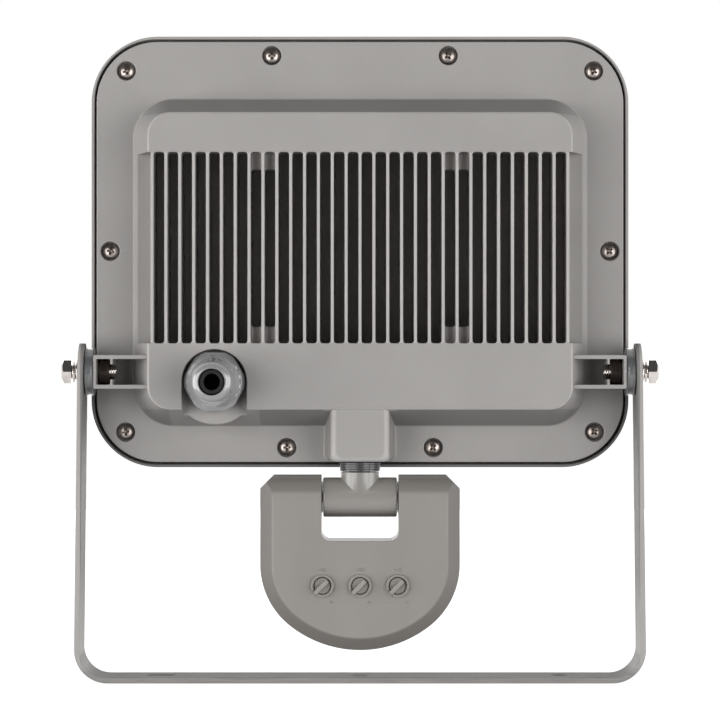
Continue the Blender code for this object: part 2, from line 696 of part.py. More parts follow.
def make_bracket():
    """Bend a strap to a U, round its ears and cut its holes."""
    half_width = STRAP_WIDTH / 2
    outer = strap_side(STRAP_BEND_RADIUS, 0.0)
    inner = strap_side(STRAP_BEND_RADIUS - STRAP_THICKNESS, STRAP_THICKNESS)
    left = outer[::-1] + inner
    right = [(-x, z) for x, z in left[::-1]]
    foot_outer, foot_inner = len(outer), len(outer)
    outline = left[:foot_outer] + right[foot_inner:] + right[:foot_inner] + left[foot_outer:]
    strap = flat("strap", [outline], -half_width, half_width, LAY_Y)
    near, far = STRAP_INNER_AT_PIVOT - CUT_PAST, STRAP_HALF_AT_FOOT + CUT_PAST
    past_y, past_z = half_width + CUT_PAST, PIVOT_Z + half_width + CUT_PAST
    ear = arc((0.0, PIVOT_Z), half_width, 0.0, math.pi, 2 * CORNER_STEPS)
    waste = ear + [(-past_y, PIVOT_Z), (-past_y, past_z), (past_y, past_z), (past_y, PIVOT_Z)]
    for side in (1, -1):
        low, high = side_span(side, near, far)
        cut(strap, flat("ear_corners", [waste], low, high, LAY_X),
            rod("ear_hole", along_x(0, 0, PIVOT_Z), (BOLT_DIAMETER + BORE_CLEARANCE) / 2, low, high))
    low, high = -CUT_PAST, STRAP_THICKNESS + CUT_PAST
    half_slot = (FOOT_SLOT_LENGTH - FOOT_SIDE_HOLE) / 2
    quarter = math.pi / 2
    slot = arc((FOOT_SIDE_HOLE_X + half_slot, 0), FOOT_SIDE_HOLE / 2, -quarter, quarter, CORNER_STEPS)
    slot += arc((FOOT_SIDE_HOLE_X - half_slot, 0), FOOT_SIDE_HOLE / 2, quarter, 3 * quarter,
                CORNER_STEPS)
    cut(strap, rod("centre_hole", along_z(0, 0, 0), FOOT_CENTRE_HOLE / 2, low, high),
        rod("side_hole", along_z(-FOOT_SIDE_HOLE_X, 0, 0), FOOT_SIDE_HOLE / 2, low, high),
        flat("foot_slot", [slot], low, high, LAY_Z))
    return finish(strap, "mounting_bracket", STRAP_PAINT)


def slot_x(index):
    """Return the middle of one cooling slot, counted from the +X side."""
    return ((SLOT_COUNT - 1) / 2 - index) * SLOT_PITCH


def slot_cutter(index, shorter, floor_y):
    """Make the solid that clears one cooling slot, made shorter at both ends."""
    x = slot_x(index)
    outline = rounded(x - SLOT_WIDTH / 2, x + SLOT_WIDTH / 2, SLOT_BOTTOM_Z + shorter,
                      SLOT_TOP_Z - shorter, SLOT_CORNER_RADIUS, SMALL_CORNER_STEPS)
    return flat("slot", [outline], floor_y, PLATEAU_REAR_Y + CUT_PAST, LAY_Y)


def merged(objs):
    """Gather separate solids into one mesh."""
    work = bmesh.new()
    for obj in objs:
        work.from_mesh(obj.data)
        bpy.data.objects.remove(obj)
    mesh = bpy.data.meshes.new("merged")
    work.to_mesh(mesh)
    work.free()
    return body("merged", mesh)


def plateau_ring(y, inset=0.0):
    """List the plateau's outline at one level, with its slope."""
    share = (y - FLANGE_REAR_Y) / PLATEAU_HEIGHT
    run = PLATEAU_SLOPE_RUN * share + inset
    outline = rounded(-PLATEAU_HALF_WIDTH + run, PLATEAU_HALF_WIDTH - run,
                      PLATEAU_BOTTOM_Z + run, PLATEAU_TOP_Z - run, PLATEAU_CORNER_RADIUS - run)
    return lift(outline, y)


def add_lug(housing, side):
    """Add one open lug box for a pivot nut."""
    inner = LUG_INNER_HEIGHT / 2
    outer = inner + LUG_WALL
    root_x = PLATEAU_HALF_WIDTH - PLATEAU_SLOPE_RUN - LUG_WALL
    floor_y = FLANGE_REAR_Y - OVERLAP
    ends = LUG_END_X - LUG_END_WALL
    for low_z in (PIVOT_Z - outer, PIVOT_Z + inner):
        low_x, high_x = side_span(side, root_x, LUG_END_X)
        join(housing, box("lug_wall", (low_x, floor_y, low_z), (high_x, LUG_REAR_Y, low_z + LUG_WALL)))
    for low, high in ((ends, LUG_END_X), (LUG_DIVIDER_X, LUG_DIVIDER_X + LUG_DIVIDER_WALL)):
        low_x, high_x = side_span(side, low, high)
        join(housing, box("lug_end", (low_x, floor_y, PIVOT_Z - inner - OVERLAP),
                          (high_x, LUG_REAR_Y, PIVOT_Z + inner + OVERLAP)))
    low_x, high_x = side_span(side, LUG_DIVIDER_X - OVERLAP,
                              LUG_DIVIDER_X + LUG_DIVIDER_WALL + OVERLAP)
    half_slot = (BOLT_DIAMETER + BORE_CLEARANCE) / 2
    slot = arc((0.0, PIVOT_Z), half_slot, math.pi / 2, 3 * math.pi / 2, CORNER_STEPS)
    slot += [(LUG_REAR_Y + CUT_PAST, PIVOT_Z - half_slot), (LUG_REAR_Y + CUT_PAST, PIVOT_Z + half_slot)]
    cut(housing, flat("divider_slot", [slot], low_x, high_x, LAY_X))
    low_x, high_x = side_span(side, ends - OVERLAP, LUG_END_X + OVERLAP)
    cut(housing, rod("lug_hole", along_x(0, 0, PIVOT_Z), (BOLT_DIAMETER + BORE_CLEARANCE) / 2,
                     low_x, high_x))


def make_housing():
    """Cast the rear housing: flange, plateau, fins, lugs, gland alcove and sensor boss."""
    half = inside(FRAME_HALF_WIDTH, FRAME_HALF_HEIGHT, FRAME_CORNER_RADIUS, FLANGE_INSET)
    housing = flat("housing", [centred(*half)], FLANGE_FRONT_Y, FLANGE_REAR_Y, LAY_Y)
    rings = [plateau_ring(FLANGE_REAR_Y - OVERLAP), plateau_ring(PLATEAU_REAR_Y - PLATEAU_EDGE),
             plateau_ring(PLATEAU_REAR_Y, PLATEAU_EDGE)]
    join(housing, loft("plateau", rings))
    pad_place = along_y(GLAND_X, 0, GLAND_Z)
    join(housing, rod("gland_pad", pad_place, ALCOVE_PAD_RADIUS, FLANGE_REAR_Y - OVERLAP,
                      ALCOVE_PAD_Y, ROUND_STEPS))
    boss_rings = []
    boss_top = PLATEAU_BOTTOM_Z + 2 * PLATEAU_SLOPE_RUN
    for y, half_width in ((FLANGE_REAR_Y - OVERLAP, SENSOR_BOSS_BASE_HALF),
                          (SENSOR_BOSS_REAR_Y - PLATEAU_EDGE, SENSOR_BOSS_TOP_HALF),
                          (SENSOR_BOSS_REAR_Y, SENSOR_BOSS_TOP_HALF - PLATEAU_EDGE)):
        outline = rounded(-half_width, half_width, SENSOR_BOSS_BOTTOM_Z, boss_top,
                          SENSOR_BOSS_CORNER, SMALL_CORNER_STEPS)
        boss_rings.append(lift(outline, y))
    join(housing, loft("sensor_boss", boss_rings))
    arch = arc((GLAND_X, GLAND_Z), ALCOVE_RADIUS, 0, math.pi, 2 * CORNER_STEPS)
    arch_bottom = PLATEAU_BOTTOM_Z - CUT_PAST
    arch += [(GLAND_X - ALCOVE_RADIUS, arch_bottom), (GLAND_X + ALCOVE_RADIUS, arch_bottom)]
    cut(housing, flat("alcove", [arch], ALCOVE_PAD_Y, PLATEAU_REAR_Y + CUT_PAST, LAY_Y))
    for side in (1, -1):
        add_lug(housing, side)
    deep, shallow = [], []
    for index in range(SLOT_COUNT):
        shorter = BOSS_LENGTH if index in BOSS_SLOTS else 0.0
        deep.append(slot_cutter(index, shorter, SLOT_FLOOR_Y))
        if shorter:
            shallow.append(slot_cutter(index, 0.0, BOSS_FLOOR_Y))
    cut(housing, merged(deep), merged(shallow))
    fin_x = slot_x(0) + SLOT_WIDTH / 2 + END_FIN_THICKNESS
    for side in (1, -1):
        low_x, high_x = side_span(side, fin_x, PLATEAU_HALF_WIDTH + CUT_PAST)
        cut(housing, box("shoulder", (low_x, SHOULDER_Y, SLOT_BOTTOM_Z),
                         (high_x, PLATEAU_REAR_Y + CUT_PAST, SLOT_TOP_Z)))
        root = arc((side * (fin_x + SHOULDER_FILLET), SHOULDER_Y + SHOULDER_FILLET), SHOULDER_FILLET,
                   math.radians(180 if side > 0 else 0), math.radians(270), CORNER_STEPS // 2)
        root.append((side * (fin_x - OVERLAP), SHOULDER_Y - OVERLAP))
        root = [(side * (fin_x - OVERLAP), SHOULDER_Y + SHOULDER_FILLET)] + root
        root.insert(-1, (side * (fin_x + SHOULDER_FILLET), SHOULDER_Y - OVERLAP))
        join(housing, flat("shoulder_root", [root], SLOT_BOTTOM_Z - OVERLAP, SLOT_TOP_Z + OVERLAP,
                           LAY_Z))
    pocket = centred(POCKET_HALF_WIDTH, POCKET_HALF_HEIGHT, POCKET_CORNER_RADIUS)
    cut(housing, flat("pocket", [pocket], FLANGE_FRONT_Y - CUT_PAST, POCKET_FLOOR_Y, LAY_Y))
    mouth = POCKET_FLOOR_Y - OVERLAP
    neck_half = six_flats(NECK_NUT_FLATS) + NECK_NUT_ROOM
    cut(housing,
        box("chamber", (-CHAMBER_HALF_WIDTH, mouth, CHAMBER_BOTTOM_Z),
            (CHAMBER_GLAND_SIDE_X, CHAMBER_REAR_Y, CHAMBER_TOP_Z)),
        box("gland_chamber", (CHAMBER_GLAND_SIDE_X - OVERLAP, mouth, CHAMBER_GLAND_BOTTOM_Z),
            (CHAMBER_HALF_WIDTH, ALCOVE_PAD_Y - GLAND_WALL, CHAMBER_TOP_Z)),
        box("upper_chamber", (-CHAMBER_HALF_WIDTH, mouth, UPPER_CHAMBER_BOTTOM_Z),
            (CHAMBER_HALF_WIDTH, CHAMBER_REAR_Y, UPPER_CHAMBER_TOP_Z)),
        box("neck_cavity",
            (-neck_half, -neck_half, SENSOR_BOSS_BOTTOM_Z + SENSOR_BOSS_FLOOR),
            (neck_half, neck_half, CHAMBER_BOTTOM_Z + OVERLAP)),
        rod("neck_hole", along_z(0, 0, 0), (NECK_DIAMETER + BORE_CLEARANCE) / 2,
            SENSOR_BOSS_BOTTOM_Z - CUT_PAST, SENSOR_BOSS_BOTTOM_Z + SENSOR_BOSS_FLOOR + OVERLAP),
        rod("gland_hole", pad_place, (GLAND_THREAD + BORE_CLEARANCE) / 2,
            ALCOVE_PAD_Y - GLAND_WALL - OVERLAP, ALCOVE_PAD_Y + CUT_PAST, ROUND_STEPS))
    for x, z in mirrored(FRAME_SCREWS):
        cut(housing,
            rod("counterbore", along_y(x, 0, z), COUNTERBORE / 2,
                FLANGE_REAR_Y - COUNTERBORE_DEPTH, FLANGE_REAR_Y + CUT_PAST),
            rod("screw_hole", along_y(x, 0, z), (SCREW_SHANK + BORE_CLEARANCE) / 2,
                FLANGE_FRONT_Y - CUT_PAST, FLANGE_REAR_Y, BORE_STEPS))
    for x, z in board_screw_places():
        cut(housing, rod("board_screw_hole", along_y(x, 0, z),
                         (BOARD_SCREW_SHANK + BORE_CLEARANCE) / 2, mouth,
                         BOARD_FRONT_Y + BOARD_SCREW_LENGTH + GAP, BORE_STEPS))
    return finish(housing, "rear_housing", GREY_PAINT)


def board_screw_places():
    """Return the places of the LED board's screws, in the bosses at the slots' ends."""
    x = (slot_x(BOSS_SLOTS[0]) + slot_x(BOSS_SLOTS[1])) / 2
    inward = BOSS_LENGTH / 2
    return mirrored(((x, SLOT_TOP_Z - inward), (x, SLOT_BOTTOM_Z + inward)))


def pocket_size(extra=0.0):
    """Return half width, half height and corner radius of the glass pocket, made larger by extra."""
    step = GLASS_POCKET_STEP + extra
    return WINDOW_HALF_WIDTH + step, WINDOW_HALF_HEIGHT + step, WINDOW_CORNER_RADIUS + step


def make_frame():
    """Cast the front frame: rim, lip round the window, glass pocket, rib and screw bosses."""
    outer = (FRAME_HALF_WIDTH, FRAME_HALF_HEIGHT, FRAME_CORNER_RADIUS)
    window = (WINDOW_HALF_WIDTH, WINDOW_HALF_HEIGHT, WINDOW_CORNER_RADIUS)
    rib_outer = pocket_size(FRAME_RIB_THICKNESS)
    sections = [
        (outer, FLANGE_REAR_Y),
        (inside(*outer, FRAME_DRAFT), FRAME_FRONT_Y + FRAME_EDGE_BEVEL),
        (inside(*outer, FRAME_DRAFT + FRAME_EDGE_BEVEL), FRAME_FRONT_Y),
        (inside(*window, -WINDOW_BEVEL), FRAME_FRONT_Y),
        (window, FRAME_FRONT_Y + WINDOW_BEVEL / 2),
        (window, LIP_BACK_Y),
        (pocket_size(), LIP_BACK_Y),
        (pocket_size(), RIB_BACK_Y),
        (rib_outer, RIB_BACK_Y),
        (rib_outer, LIP_BACK_Y),
        (inside(*outer, FRAME_DRAFT + FRAME_EDGE_BEVEL), LIP_BACK_Y),
        (inside(*outer, FRAME_RIM_WALL), FLANGE_REAR_Y),
    ]
    frame = loft("frame", [lift(centred(*size), y) for size, y in sections], closed=True)
    for x, z in mirrored(FRAME_SCREWS):
        join(frame, rod("frame_boss", along_y(x, 0, z), FRAME_BOSS_RADIUS, LIP_BACK_Y - OVERLAP,
                        RIB_BACK_Y, BORE_STEPS))
    for x, z in mirrored(FRAME_SCREWS):
        cut(frame, rod("boss_hole", along_y(x, 0, z), (SCREW_SHANK + BORE_CLEARANCE) / 2,
                       LIP_BACK_Y + FRAME_RIM_WALL, FLANGE_FRONT_Y + CUT_PAST, BORE_STEPS))
    return finish(frame, "front_frame", GREY_PAINT)


def inner_ring(size):
    """List a rounded rectangle with the fewer facets of a hidden piece."""
    return centred(*size, steps=INNER_CORNER_STEPS)


def make_window():
    """Cut the glass, its gasket and the gasket between frame and housing."""
    glass_size = inside(*pocket_size(), GAP)
    glass = flat("glass", [centred(*glass_size)], GLASS_FRONT_Y, GLASS_REAR_Y, LAY_Y)
    finish(glass, "glass_panel", CLEAR_GLASS)
    hole = inside(*glass_size, GLASS_GASKET_WIDTH)
    seal = flat("seal", [inner_ring(glass_size), inner_ring(hole)], LIP_BACK_Y + GAP,
                GLASS_FRONT_Y - GAP, LAY_Y)
    finish(seal, "glass_gasket", BLACK_RUBBER)
    ring = flat("ring", [inner_ring(pocket_size(FRAME_RIB_THICKNESS)), inner_ring(pocket_size())],
                GASKET_FRONT_Y, FLANGE_FRONT_Y - GAP, LAY_Y)
    for x, z in mirrored(FRAME_SCREWS):
        cut(ring, rod("screw_notch", along_y(x, 0, z), (SCREW_SHANK + BORE_CLEARANCE) / 2,
                      GASKET_FRONT_Y - CUT_PAST, FLANGE_FRONT_Y + CUT_PAST, BORE_STEPS))
    finish(ring, "housing_gasket", BLACK_RUBBER)


def make_reflector():
    """Press the reflector: a tray without a floor, from the LED board out to the glass."""
    base = (LED_BOARD_HALF_WIDTH - REFLECTOR_INSET, LED_BOARD_HALF_HEIGHT - REFLECTOR_INSET,
            REFLECTOR_BASE_CORNER)
    top = inside(*pocket_size(), GAP + REFLECTOR_RIM)
    base_y = BOARD_FRONT_Y - GAP
    top_y = GLASS_REAR_Y + GAP
    sections = [
        (base, base_y),
        (top, top_y),
        (inside(*top, -REFLECTOR_RIM), top_y),
        (inside(*top, -REFLECTOR_RIM), top_y + REFLECTOR_WALL),
        (inside(*top, -REFLECTOR_WALL), top_y + REFLECTOR_WALL),
        (inside(*base, -REFLECTOR_WALL), base_y),
    ]
    tray = loft("tray", [lift(inner_ring(size), y) for size, y in sections], closed=True)
    finish(tray, "reflector", WHITE_PLASTIC)


def make_led_board():
    """Make the LED board, its LEDs and its screws."""
    plate = centred(LED_BOARD_HALF_WIDTH, LED_BOARD_HALF_HEIGHT, LED_BOARD_CORNER,
                    SMALL_CORNER_STEPS)
    holes = [circle(place, (BOARD_SCREW_SHANK + BORE_CLEARANCE) / 2, BORE_STEPS)
             for place in board_screw_places()]
    wire_z = BODY_MIDDLE_Z - LED_BOARD_HALF_HEIGHT + WIRE_HOLE_INSET
    holes.append(circle((0, wire_z), WIRE_HOLE / 2, BORE_STEPS))
    board = flat("board", [plate] + holes, BOARD_FRONT_Y, BOARD_REAR_Y, LAY_Y)
    leds = []
    front_y = BOARD_FRONT_Y - LED_THICKNESS
    for column in range(LED_COLUMNS):
        for row in range(LED_ROWS):
            x = (column - (LED_COLUMNS - 1) / 2) * LED_PITCH_X
            z = BODY_MIDDLE_Z + (row - (LED_ROWS - 1) / 2) * LED_PITCH_Z
            leds.append(box("led", (x - LED_WIDTH / 2, front_y, z - LED_HEIGHT / 2),
                            (x + LED_WIDTH / 2, BOARD_FRONT_Y + OVERLAP, z + LED_HEIGHT / 2)))
    join(board, merged(leds))
    finish(board, "led_board", WHITE_PLASTIC, smooth=False)
    for number, (x, z) in enumerate(board_screw_places(), 1):
        seat = along_y(x, BOARD_FRONT_Y - GAP, z) @ Matrix.Rotation(math.pi, 4, 'X')
        screw = screw_solid(BOARD_SCREW_HEAD, BOARD_SCREW_HEAD_HEIGHT, BOARD_SCREW_SHANK,
                            BOARD_SCREW_LENGTH, seat, BORE_STEPS)
        finish(screw, f"led_board_screw_{number}", STEEL)


def screw_solid(head, head_height, shank, length, place, steps=SCREW_STEPS):
    """Turn a pan-head screw whose head seats at the placing matrix, head up local Z."""
    crown = head_height * SCREW_CROWN_SHARE
    profile = [(0, head_height), (head / 2 - crown, head_height), (head / 2, head_height - crown),
               (head / 2, 0), (shank / 2, 0), (shank / 2, -length), (0, -length)]
    return turned("screw", profile, place, steps)


def make_housing_screws():
    """Set the ten screws in their counterbores."""
    seat_y = FLANGE_REAR_Y - COUNTERBORE_DEPTH + GAP
    for number, (x, z) in enumerate(mirrored(FRAME_SCREWS), 1):
        screw = screw_solid(SCREW_HEAD, SCREW_HEAD_HEIGHT, SCREW_SHANK, SCREW_LENGTH,
                            along_y(x, seat_y, z))
        finish(screw, f"housing_screw_{number:02d}", STEEL)


def make_electrics():
    """Make the driver module and the terminal block in the lower chamber."""
    middle_z = (CHAMBER_BOTTOM_Z + CHAMBER_TOP_Z) / 2
    rear_y = CHAMBER_REAR_Y - GAP
    driver_x = DRIVER_END_ROOM - CHAMBER_HALF_WIDTH
    outline = rounded(driver_x, driver_x + DRIVER_LENGTH, middle_z - DRIVER_HEIGHT / 2,
                      middle_z + DRIVER_HEIGHT / 2, DRIVER_CORNER, SMALL_CORNER_STEPS)
    driver = flat("driver", [outline], rear_y - DRIVER_DEPTH, rear_y, LAY_Y)
    finish(driver, "driver_module", BLACK_RUBBER)
    half = Vector((TERMINAL_LENGTH, TERMINAL_DEPTH, TERMINAL_HEIGHT)) / 2
    block_x = CHAMBER_GLAND_SIDE_X - TERMINAL_END_ROOM - half.x
    middle = Vector((block_x, rear_y - half.y, middle_z))
    block = box("block", middle - half, middle + half)
    pitch = TERMINAL_LENGTH / TERMINAL_POLES
    for pole in range(TERMINAL_POLES):
        x = block_x + (pole - (TERMINAL_POLES - 1) / 2) * pitch
        cut(block, rod("pole", along_y(x, 0, middle_z), TERMINAL_PORT / 2,
                       rear_y - TERMINAL_DEPTH - CUT_PAST,
                       rear_y - TERMINAL_DEPTH + TERMINAL_PORT, BORE_STEPS))
    finish(block, "terminal_block", WHITE_PLASTIC)


def hexagon(across_flats, phase):
    """List a hexagon's corners."""
    radius = six_flats(across_flats)
    return [(radius * math.cos(phase + i * math.pi / 3), radius * math.sin(phase + i * math.pi / 3))
            for i in range(6)]


def tube_at(name, place, outer, inner, low, high, steps=ROUND_STEPS):
    """Turn a plain ring about a placing matrix."""
    profile = [(outer / 2, high), (outer / 2, low), (inner / 2, low), (inner / 2, high)]
    return turned(name, profile, place, steps, ring=True)


def make_pivot(side):
    """Make one side's bolt, washers, spacer and nut."""
    word = "left" if side > 0 else "right"
    bore = BOLT_DIAMETER + BORE_CLEARANCE
    place = along_x(0, 0, PIVOT_Z, side)
    x = STRAP_HALF_AT_PIVOT + GAP
    washer = tube_at("washer", place, PLAIN_WASHER_DIAMETER, bore, x, x + PLAIN_WASHER_THICKNESS,
                     WASHER_STEPS)
    finish(washer, f"plain_washer_{word}", STEEL)
    x += PLAIN_WASHER_THICKNESS + GAP
    spring = tube_at("spring", place, SPRING_WASHER_DIAMETER, bore, x, x + SPRING_WASHER_THICKNESS,
                     WASHER_STEPS)
    finish(spring, f"spring_washer_{word}", STEEL)
    x += SPRING_WASHER_THICKNESS + GAP
    bolt = rod("bolt", place, six_flats(BOLT_HEAD_FLATS), x, x + BOLT_HEAD_HEIGHT, 6, 0.0)
    join(bolt, rod("shank", place, BOLT_DIAMETER / 2, x - BOLT_LENGTH, x + OVERLAP))
    finish(bolt, f"pivot_bolt_{word}", STEEL)
    low, high = LUG_END_X + GAP, STRAP_INNER_AT_PIVOT - GAP
    spacer = tube_at("spacer", place, SPACER_DIAMETER, bore, low, high, ROUND_STEPS)
    finish(spacer, f"pivot_spacer_{word}", SPACER_PLASTIC)
    high = LUG_END_X - LUG_END_WALL - GAP
    nut = rod("nut", place, six_flats(BOLT_HEAD_FLATS), high - NUT_HEIGHT, high, 6, 0.0)
    cut(nut, rod("nut_hole", place, bore / 2, high - NUT_HEIGHT - CUT_PAST, high + CUT_PAST))
    finish(nut, f"pivot_nut_{word}", STEEL)


def make_gland():
    """Make the cable gland: O-ring, body with its hexagon, cap nut and seal."""
    place = along_y(GLAND_X, 0, GLAND_Z)
    ring_low = ALCOVE_PAD_Y + GAP
    hex_low = ring_low + O_RING_HEIGHT + GAP
    hex_high = hex_low + GLAND_HEX_HEIGHT
    ring = tube_at("o_ring", place, O_RING_DIAMETER, GLAND_THREAD + BORE_CLEARANCE, ring_low,
                   ring_low + O_RING_HEIGHT)
    finish(ring, "gland_o_ring", BLACK_RUBBER)
    core = rod("gland_hex", place, six_flats(GLAND_FLATS), hex_low, hex_high, 6, math.pi / 6)
    trim = tube_at("hex_trim", place, GLAND_CORNER_DIAMETER + 2 * CUT_PAST, GLAND_CORNER_DIAMETER,
                   hex_low - CUT_PAST, hex_high + CUT_PAST)
    cut(core, trim)
    thread_low = ALCOVE_PAD_Y - GLAND_THREAD_LENGTH
    sleeve_high = hex_high + GLAND_SLEEVE_LENGTH
    join(core, rod("gland_thread", place, GLAND_THREAD / 2, thread_low, hex_low + OVERLAP, ROUND_STEPS),
         rod("gland_sleeve", place, GLAND_SLEEVE / 2, hex_high - OVERLAP, sleeve_high, ROUND_STEPS))
    cut(core, rod("gland_bore", place, GLAND_BORE / 2, thread_low - CUT_PAST, sleeve_high + CUT_PAST,
                  ROUND_STEPS))
    finish(core, "gland_body", GLAND_PLASTIC)
    low = hex_high + GAP
    tip = low + GLAND_CAP_LENGTH
    grip_high = low + GLAND_CAP_GRIP
    sleeve_room = GLAND_SLEEVE / 2 + GAP
    roof = sleeve_high + GAP
    mouth = GLAND_MOUTH / 2
    shoulder = GLAND_CAP_SHOULDER / 2
    lip = (shoulder - mouth) * GLAND_DOME_SHARE
    dome = arc((shoulder - lip, tip - lip), lip, math.pi / 2, 0.0, INNER_CORNER_STEPS)
    waist = GLAND_CAP_DIAMETER / 2 - GLAND_RIDGE_DEPTH
    profile = [(mouth, tip)] + dome + [
        (waist, grip_high), (waist, grip_high - OVERLAP), (sleeve_room, grip_high - OVERLAP),
        (sleeve_room, roof), (mouth, roof + (sleeve_room - mouth))]
    cap = turned("cap", profile, place, ROUND_STEPS, ring=True)
    outline = ribbed((GLAND_X, GLAND_Z), GLAND_CAP_DIAMETER / 2, GLAND_RIDGE_DEPTH, GLAND_CAP_RIDGES)
    hole = circle((GLAND_X, GLAND_Z), sleeve_room, ROUND_STEPS)
    join(cap, flat("grip", [outline, hole], low, grip_high, LAY_Y))
    finish(cap, "gland_cap", GLAND_PLASTIC)
    seal_low = hex_high
    inner = GLAND_BORE / 2 - GAP
    top = tip - SEAL_RECESS
    neck = mouth - GAP
    neck_low = roof + (sleeve_room - mouth)
    profile = [(neck, top), (neck, neck_low), (inner, roof - GAP), (inner, seal_low),
               (SEAL_BORE / 2, seal_low), (SEAL_BORE / 2, top)]
    finish(turned("seal", profile, place, ROUND_STEPS, ring=True), "gland_seal", BLACK_RUBBER)


def make_collar():
    """Make the ribbed collar between the boss and the sensor's stub."""
    low, high = STUB_TOP_Z + GAP, SENSOR_BOSS_BOTTOM_Z - GAP
    outline = ribbed((0, 0), COLLAR_DIAMETER / 2, COLLAR_RIB_DEPTH, COLLAR_RIBS)
    hole = circle((0, 0), (NECK_DIAMETER + BORE_CLEARANCE) / 2, SMALL_STEPS)
    finish(flat("collar", [outline, hole], low, high, LAY_Z), "boss_collar", SPACER_PLASTIC)


def make_tee(parent):
    """Make the tee knuckle, its nut and the hinge washers."""
    knuckle = rod("barrel", along_x(0, 0, HINGE_Z), BARREL_DIAMETER / 2, -BARREL_HALF_LENGTH,
                  BARREL_HALF_LENGTH, ROUND_STEPS)
    nut_low = SENSOR_BOSS_BOTTOM_Z + SENSOR_BOSS_FLOOR + GAP
    neck_top = nut_low + NECK_NUT_HEIGHT + NECK_PAST_NUT
    join(knuckle, rod("stub", along_z(0, 0, 0), STUB_DIAMETER / 2, HINGE_Z, STUB_TOP_Z, ROUND_STEPS),
         rod("neck", along_z(0, 0, 0), NECK_DIAMETER / 2, STUB_TOP_Z - OVERLAP, neck_top))
    cut(knuckle, rod("wire_bore", along_z(0, 0, 0), WIRE_BORE / 2, HINGE_Z, neck_top + CUT_PAST,
                     BORE_STEPS))
    pin = HINGE_PIN_DIAMETER / 2 + GAP
    cut(knuckle, rod("cross_bore", along_x(0, 0, HINGE_Z), pin, -BARREL_HALF_LENGTH - CUT_PAST,
                     BARREL_HALF_LENGTH + CUT_PAST, BORE_STEPS))
    finish(knuckle, "tee_knuckle", GREY_PLASTIC, parent=parent)
    nut = flat("neck_nut", [hexagon(NECK_NUT_FLATS, 0.0),
                            circle((0, 0), (NECK_DIAMETER + BORE_CLEARANCE) / 2, SMALL_STEPS)],
               nut_low, nut_low + NECK_NUT_HEIGHT, LAY_Z)
    finish(nut, "tee_nut", STEEL, parent=parent)
    low = BARREL_HALF_LENGTH + (HINGE_SIDE_ROOM - HINGE_WASHER_THICKNESS) / 2
    for side, word in ((1, "left"), (-1, "right")):
        washer = tube_at("hinge_washer", along_x(0, 0, HINGE_Z, side), HINGE_WASHER_DIAMETER,
                         HINGE_PIN_DIAMETER + BORE_CLEARANCE, low, low + HINGE_WASHER_THICKNESS,
                         WASHER_STEPS)
        finish(washer, f"hinge_washer_{word}", SPACER_PLASTIC, parent=parent)


def head_outline(inset):
    """List the head's outline: straight sides, round shoulders and a wide arc below."""
    half = HEAD_HALF_WIDTH - inset
    wide = HEAD_BOTTOM_RADIUS - inset
    small = HEAD_SIDE_RADIUS - inset
    wide_z = HEAD_BOTTOM_Z + HEAD_BOTTOM_RADIUS
    side_x = HEAD_HALF_WIDTH - HEAD_SIDE_RADIUS
    side_z = wide_z - math.sqrt((HEAD_BOTTOM_RADIUS - HEAD_SIDE_RADIUS) ** 2 - side_x ** 2)
    turn = math.atan2(side_z - wide_z, side_x)
    right = arc((side_x, side_z), small, 0.0, turn, CORNER_STEPS)
    below = arc((0, wide_z), wide, turn, -math.pi - turn, 2 * CORNER_STEPS)
    left = arc((-side_x, side_z), small, -math.pi - turn, -math.pi, CORNER_STEPS)
    return [(half, HEAD_TOP_Z)] + right + below[1:-1] + left + [(-half, HEAD_TOP_Z)]


def head_block(name, levels):
    """Loft the head's outline through (y, inset) levels."""
    return loft(name, [lift(head_outline(inset), y) for y, inset in levels])


def notch_block(grow, low_y, high_y):
    """Make the solid of the notch between the arms, made larger by grow."""
    half = NOTCH_HALF_WIDTH + grow
    outline = rounded(-half, half, NOTCH_BOTTOM_Z - grow, HEAD_TOP_Z + NOTCH_RADIUS + CUT_PAST,
                      NOTCH_RADIUS, SMALL_CORNER_STEPS)
    return flat("notch", [outline], low_y, high_y, LAY_Y)


def trim_head(shell, grow=0.0):
    """Cut the notch, the sloped upper corners, the round of the arms and the hood's slope."""
    far = HEAD_HALF_WIDTH + CUT_PAST
    low_y, high_y = HEAD_FRONT_Y - CUT_PAST, HEAD_REAR_Y + CUT_PAST
    cut(shell, notch_block(grow, low_y, high_y))
    for side in (1, -1):
        top = HEAD_TOP_Z + CUT_PAST
        chamfer = HEAD_CORNER_CHAMFER + grow
        corner = [(side * (HEAD_HALF_WIDTH - chamfer - CUT_PAST), top),
                  (side * (HEAD_HALF_WIDTH + CUT_PAST), HEAD_TOP_Z - chamfer - CUT_PAST),
                  (side * (HEAD_HALF_WIDTH + 2 * CUT_PAST), top)]
        cut(shell, flat("corner", [corner], low_y, high_y, LAY_Y))
    round_arm = arc((0.0, HINGE_Z), HEAD_ARM_RADIUS - grow, 0.0, math.pi, 2 * CORNER_STEPS)
    above = HEAD_TOP_Z + CUT_PAST
    waste = round_arm + [(low_y, HINGE_Z - HEAD_HOOD_DROP - grow
                          - HEAD_HOOD_DROP * CUT_PAST / (-HEAD_ARM_RADIUS - HEAD_FRONT_Y)),
                         (low_y, above), (high_y, above), (high_y, HINGE_Z)]
    cut(shell, flat("arm_round", [waste], -far, far, LAY_X))


def knob_places():
    """Return the places of the three controls."""
    return [(step * KNOB_SPACING, KNOB_Z) for step in (1, 0, -1)]


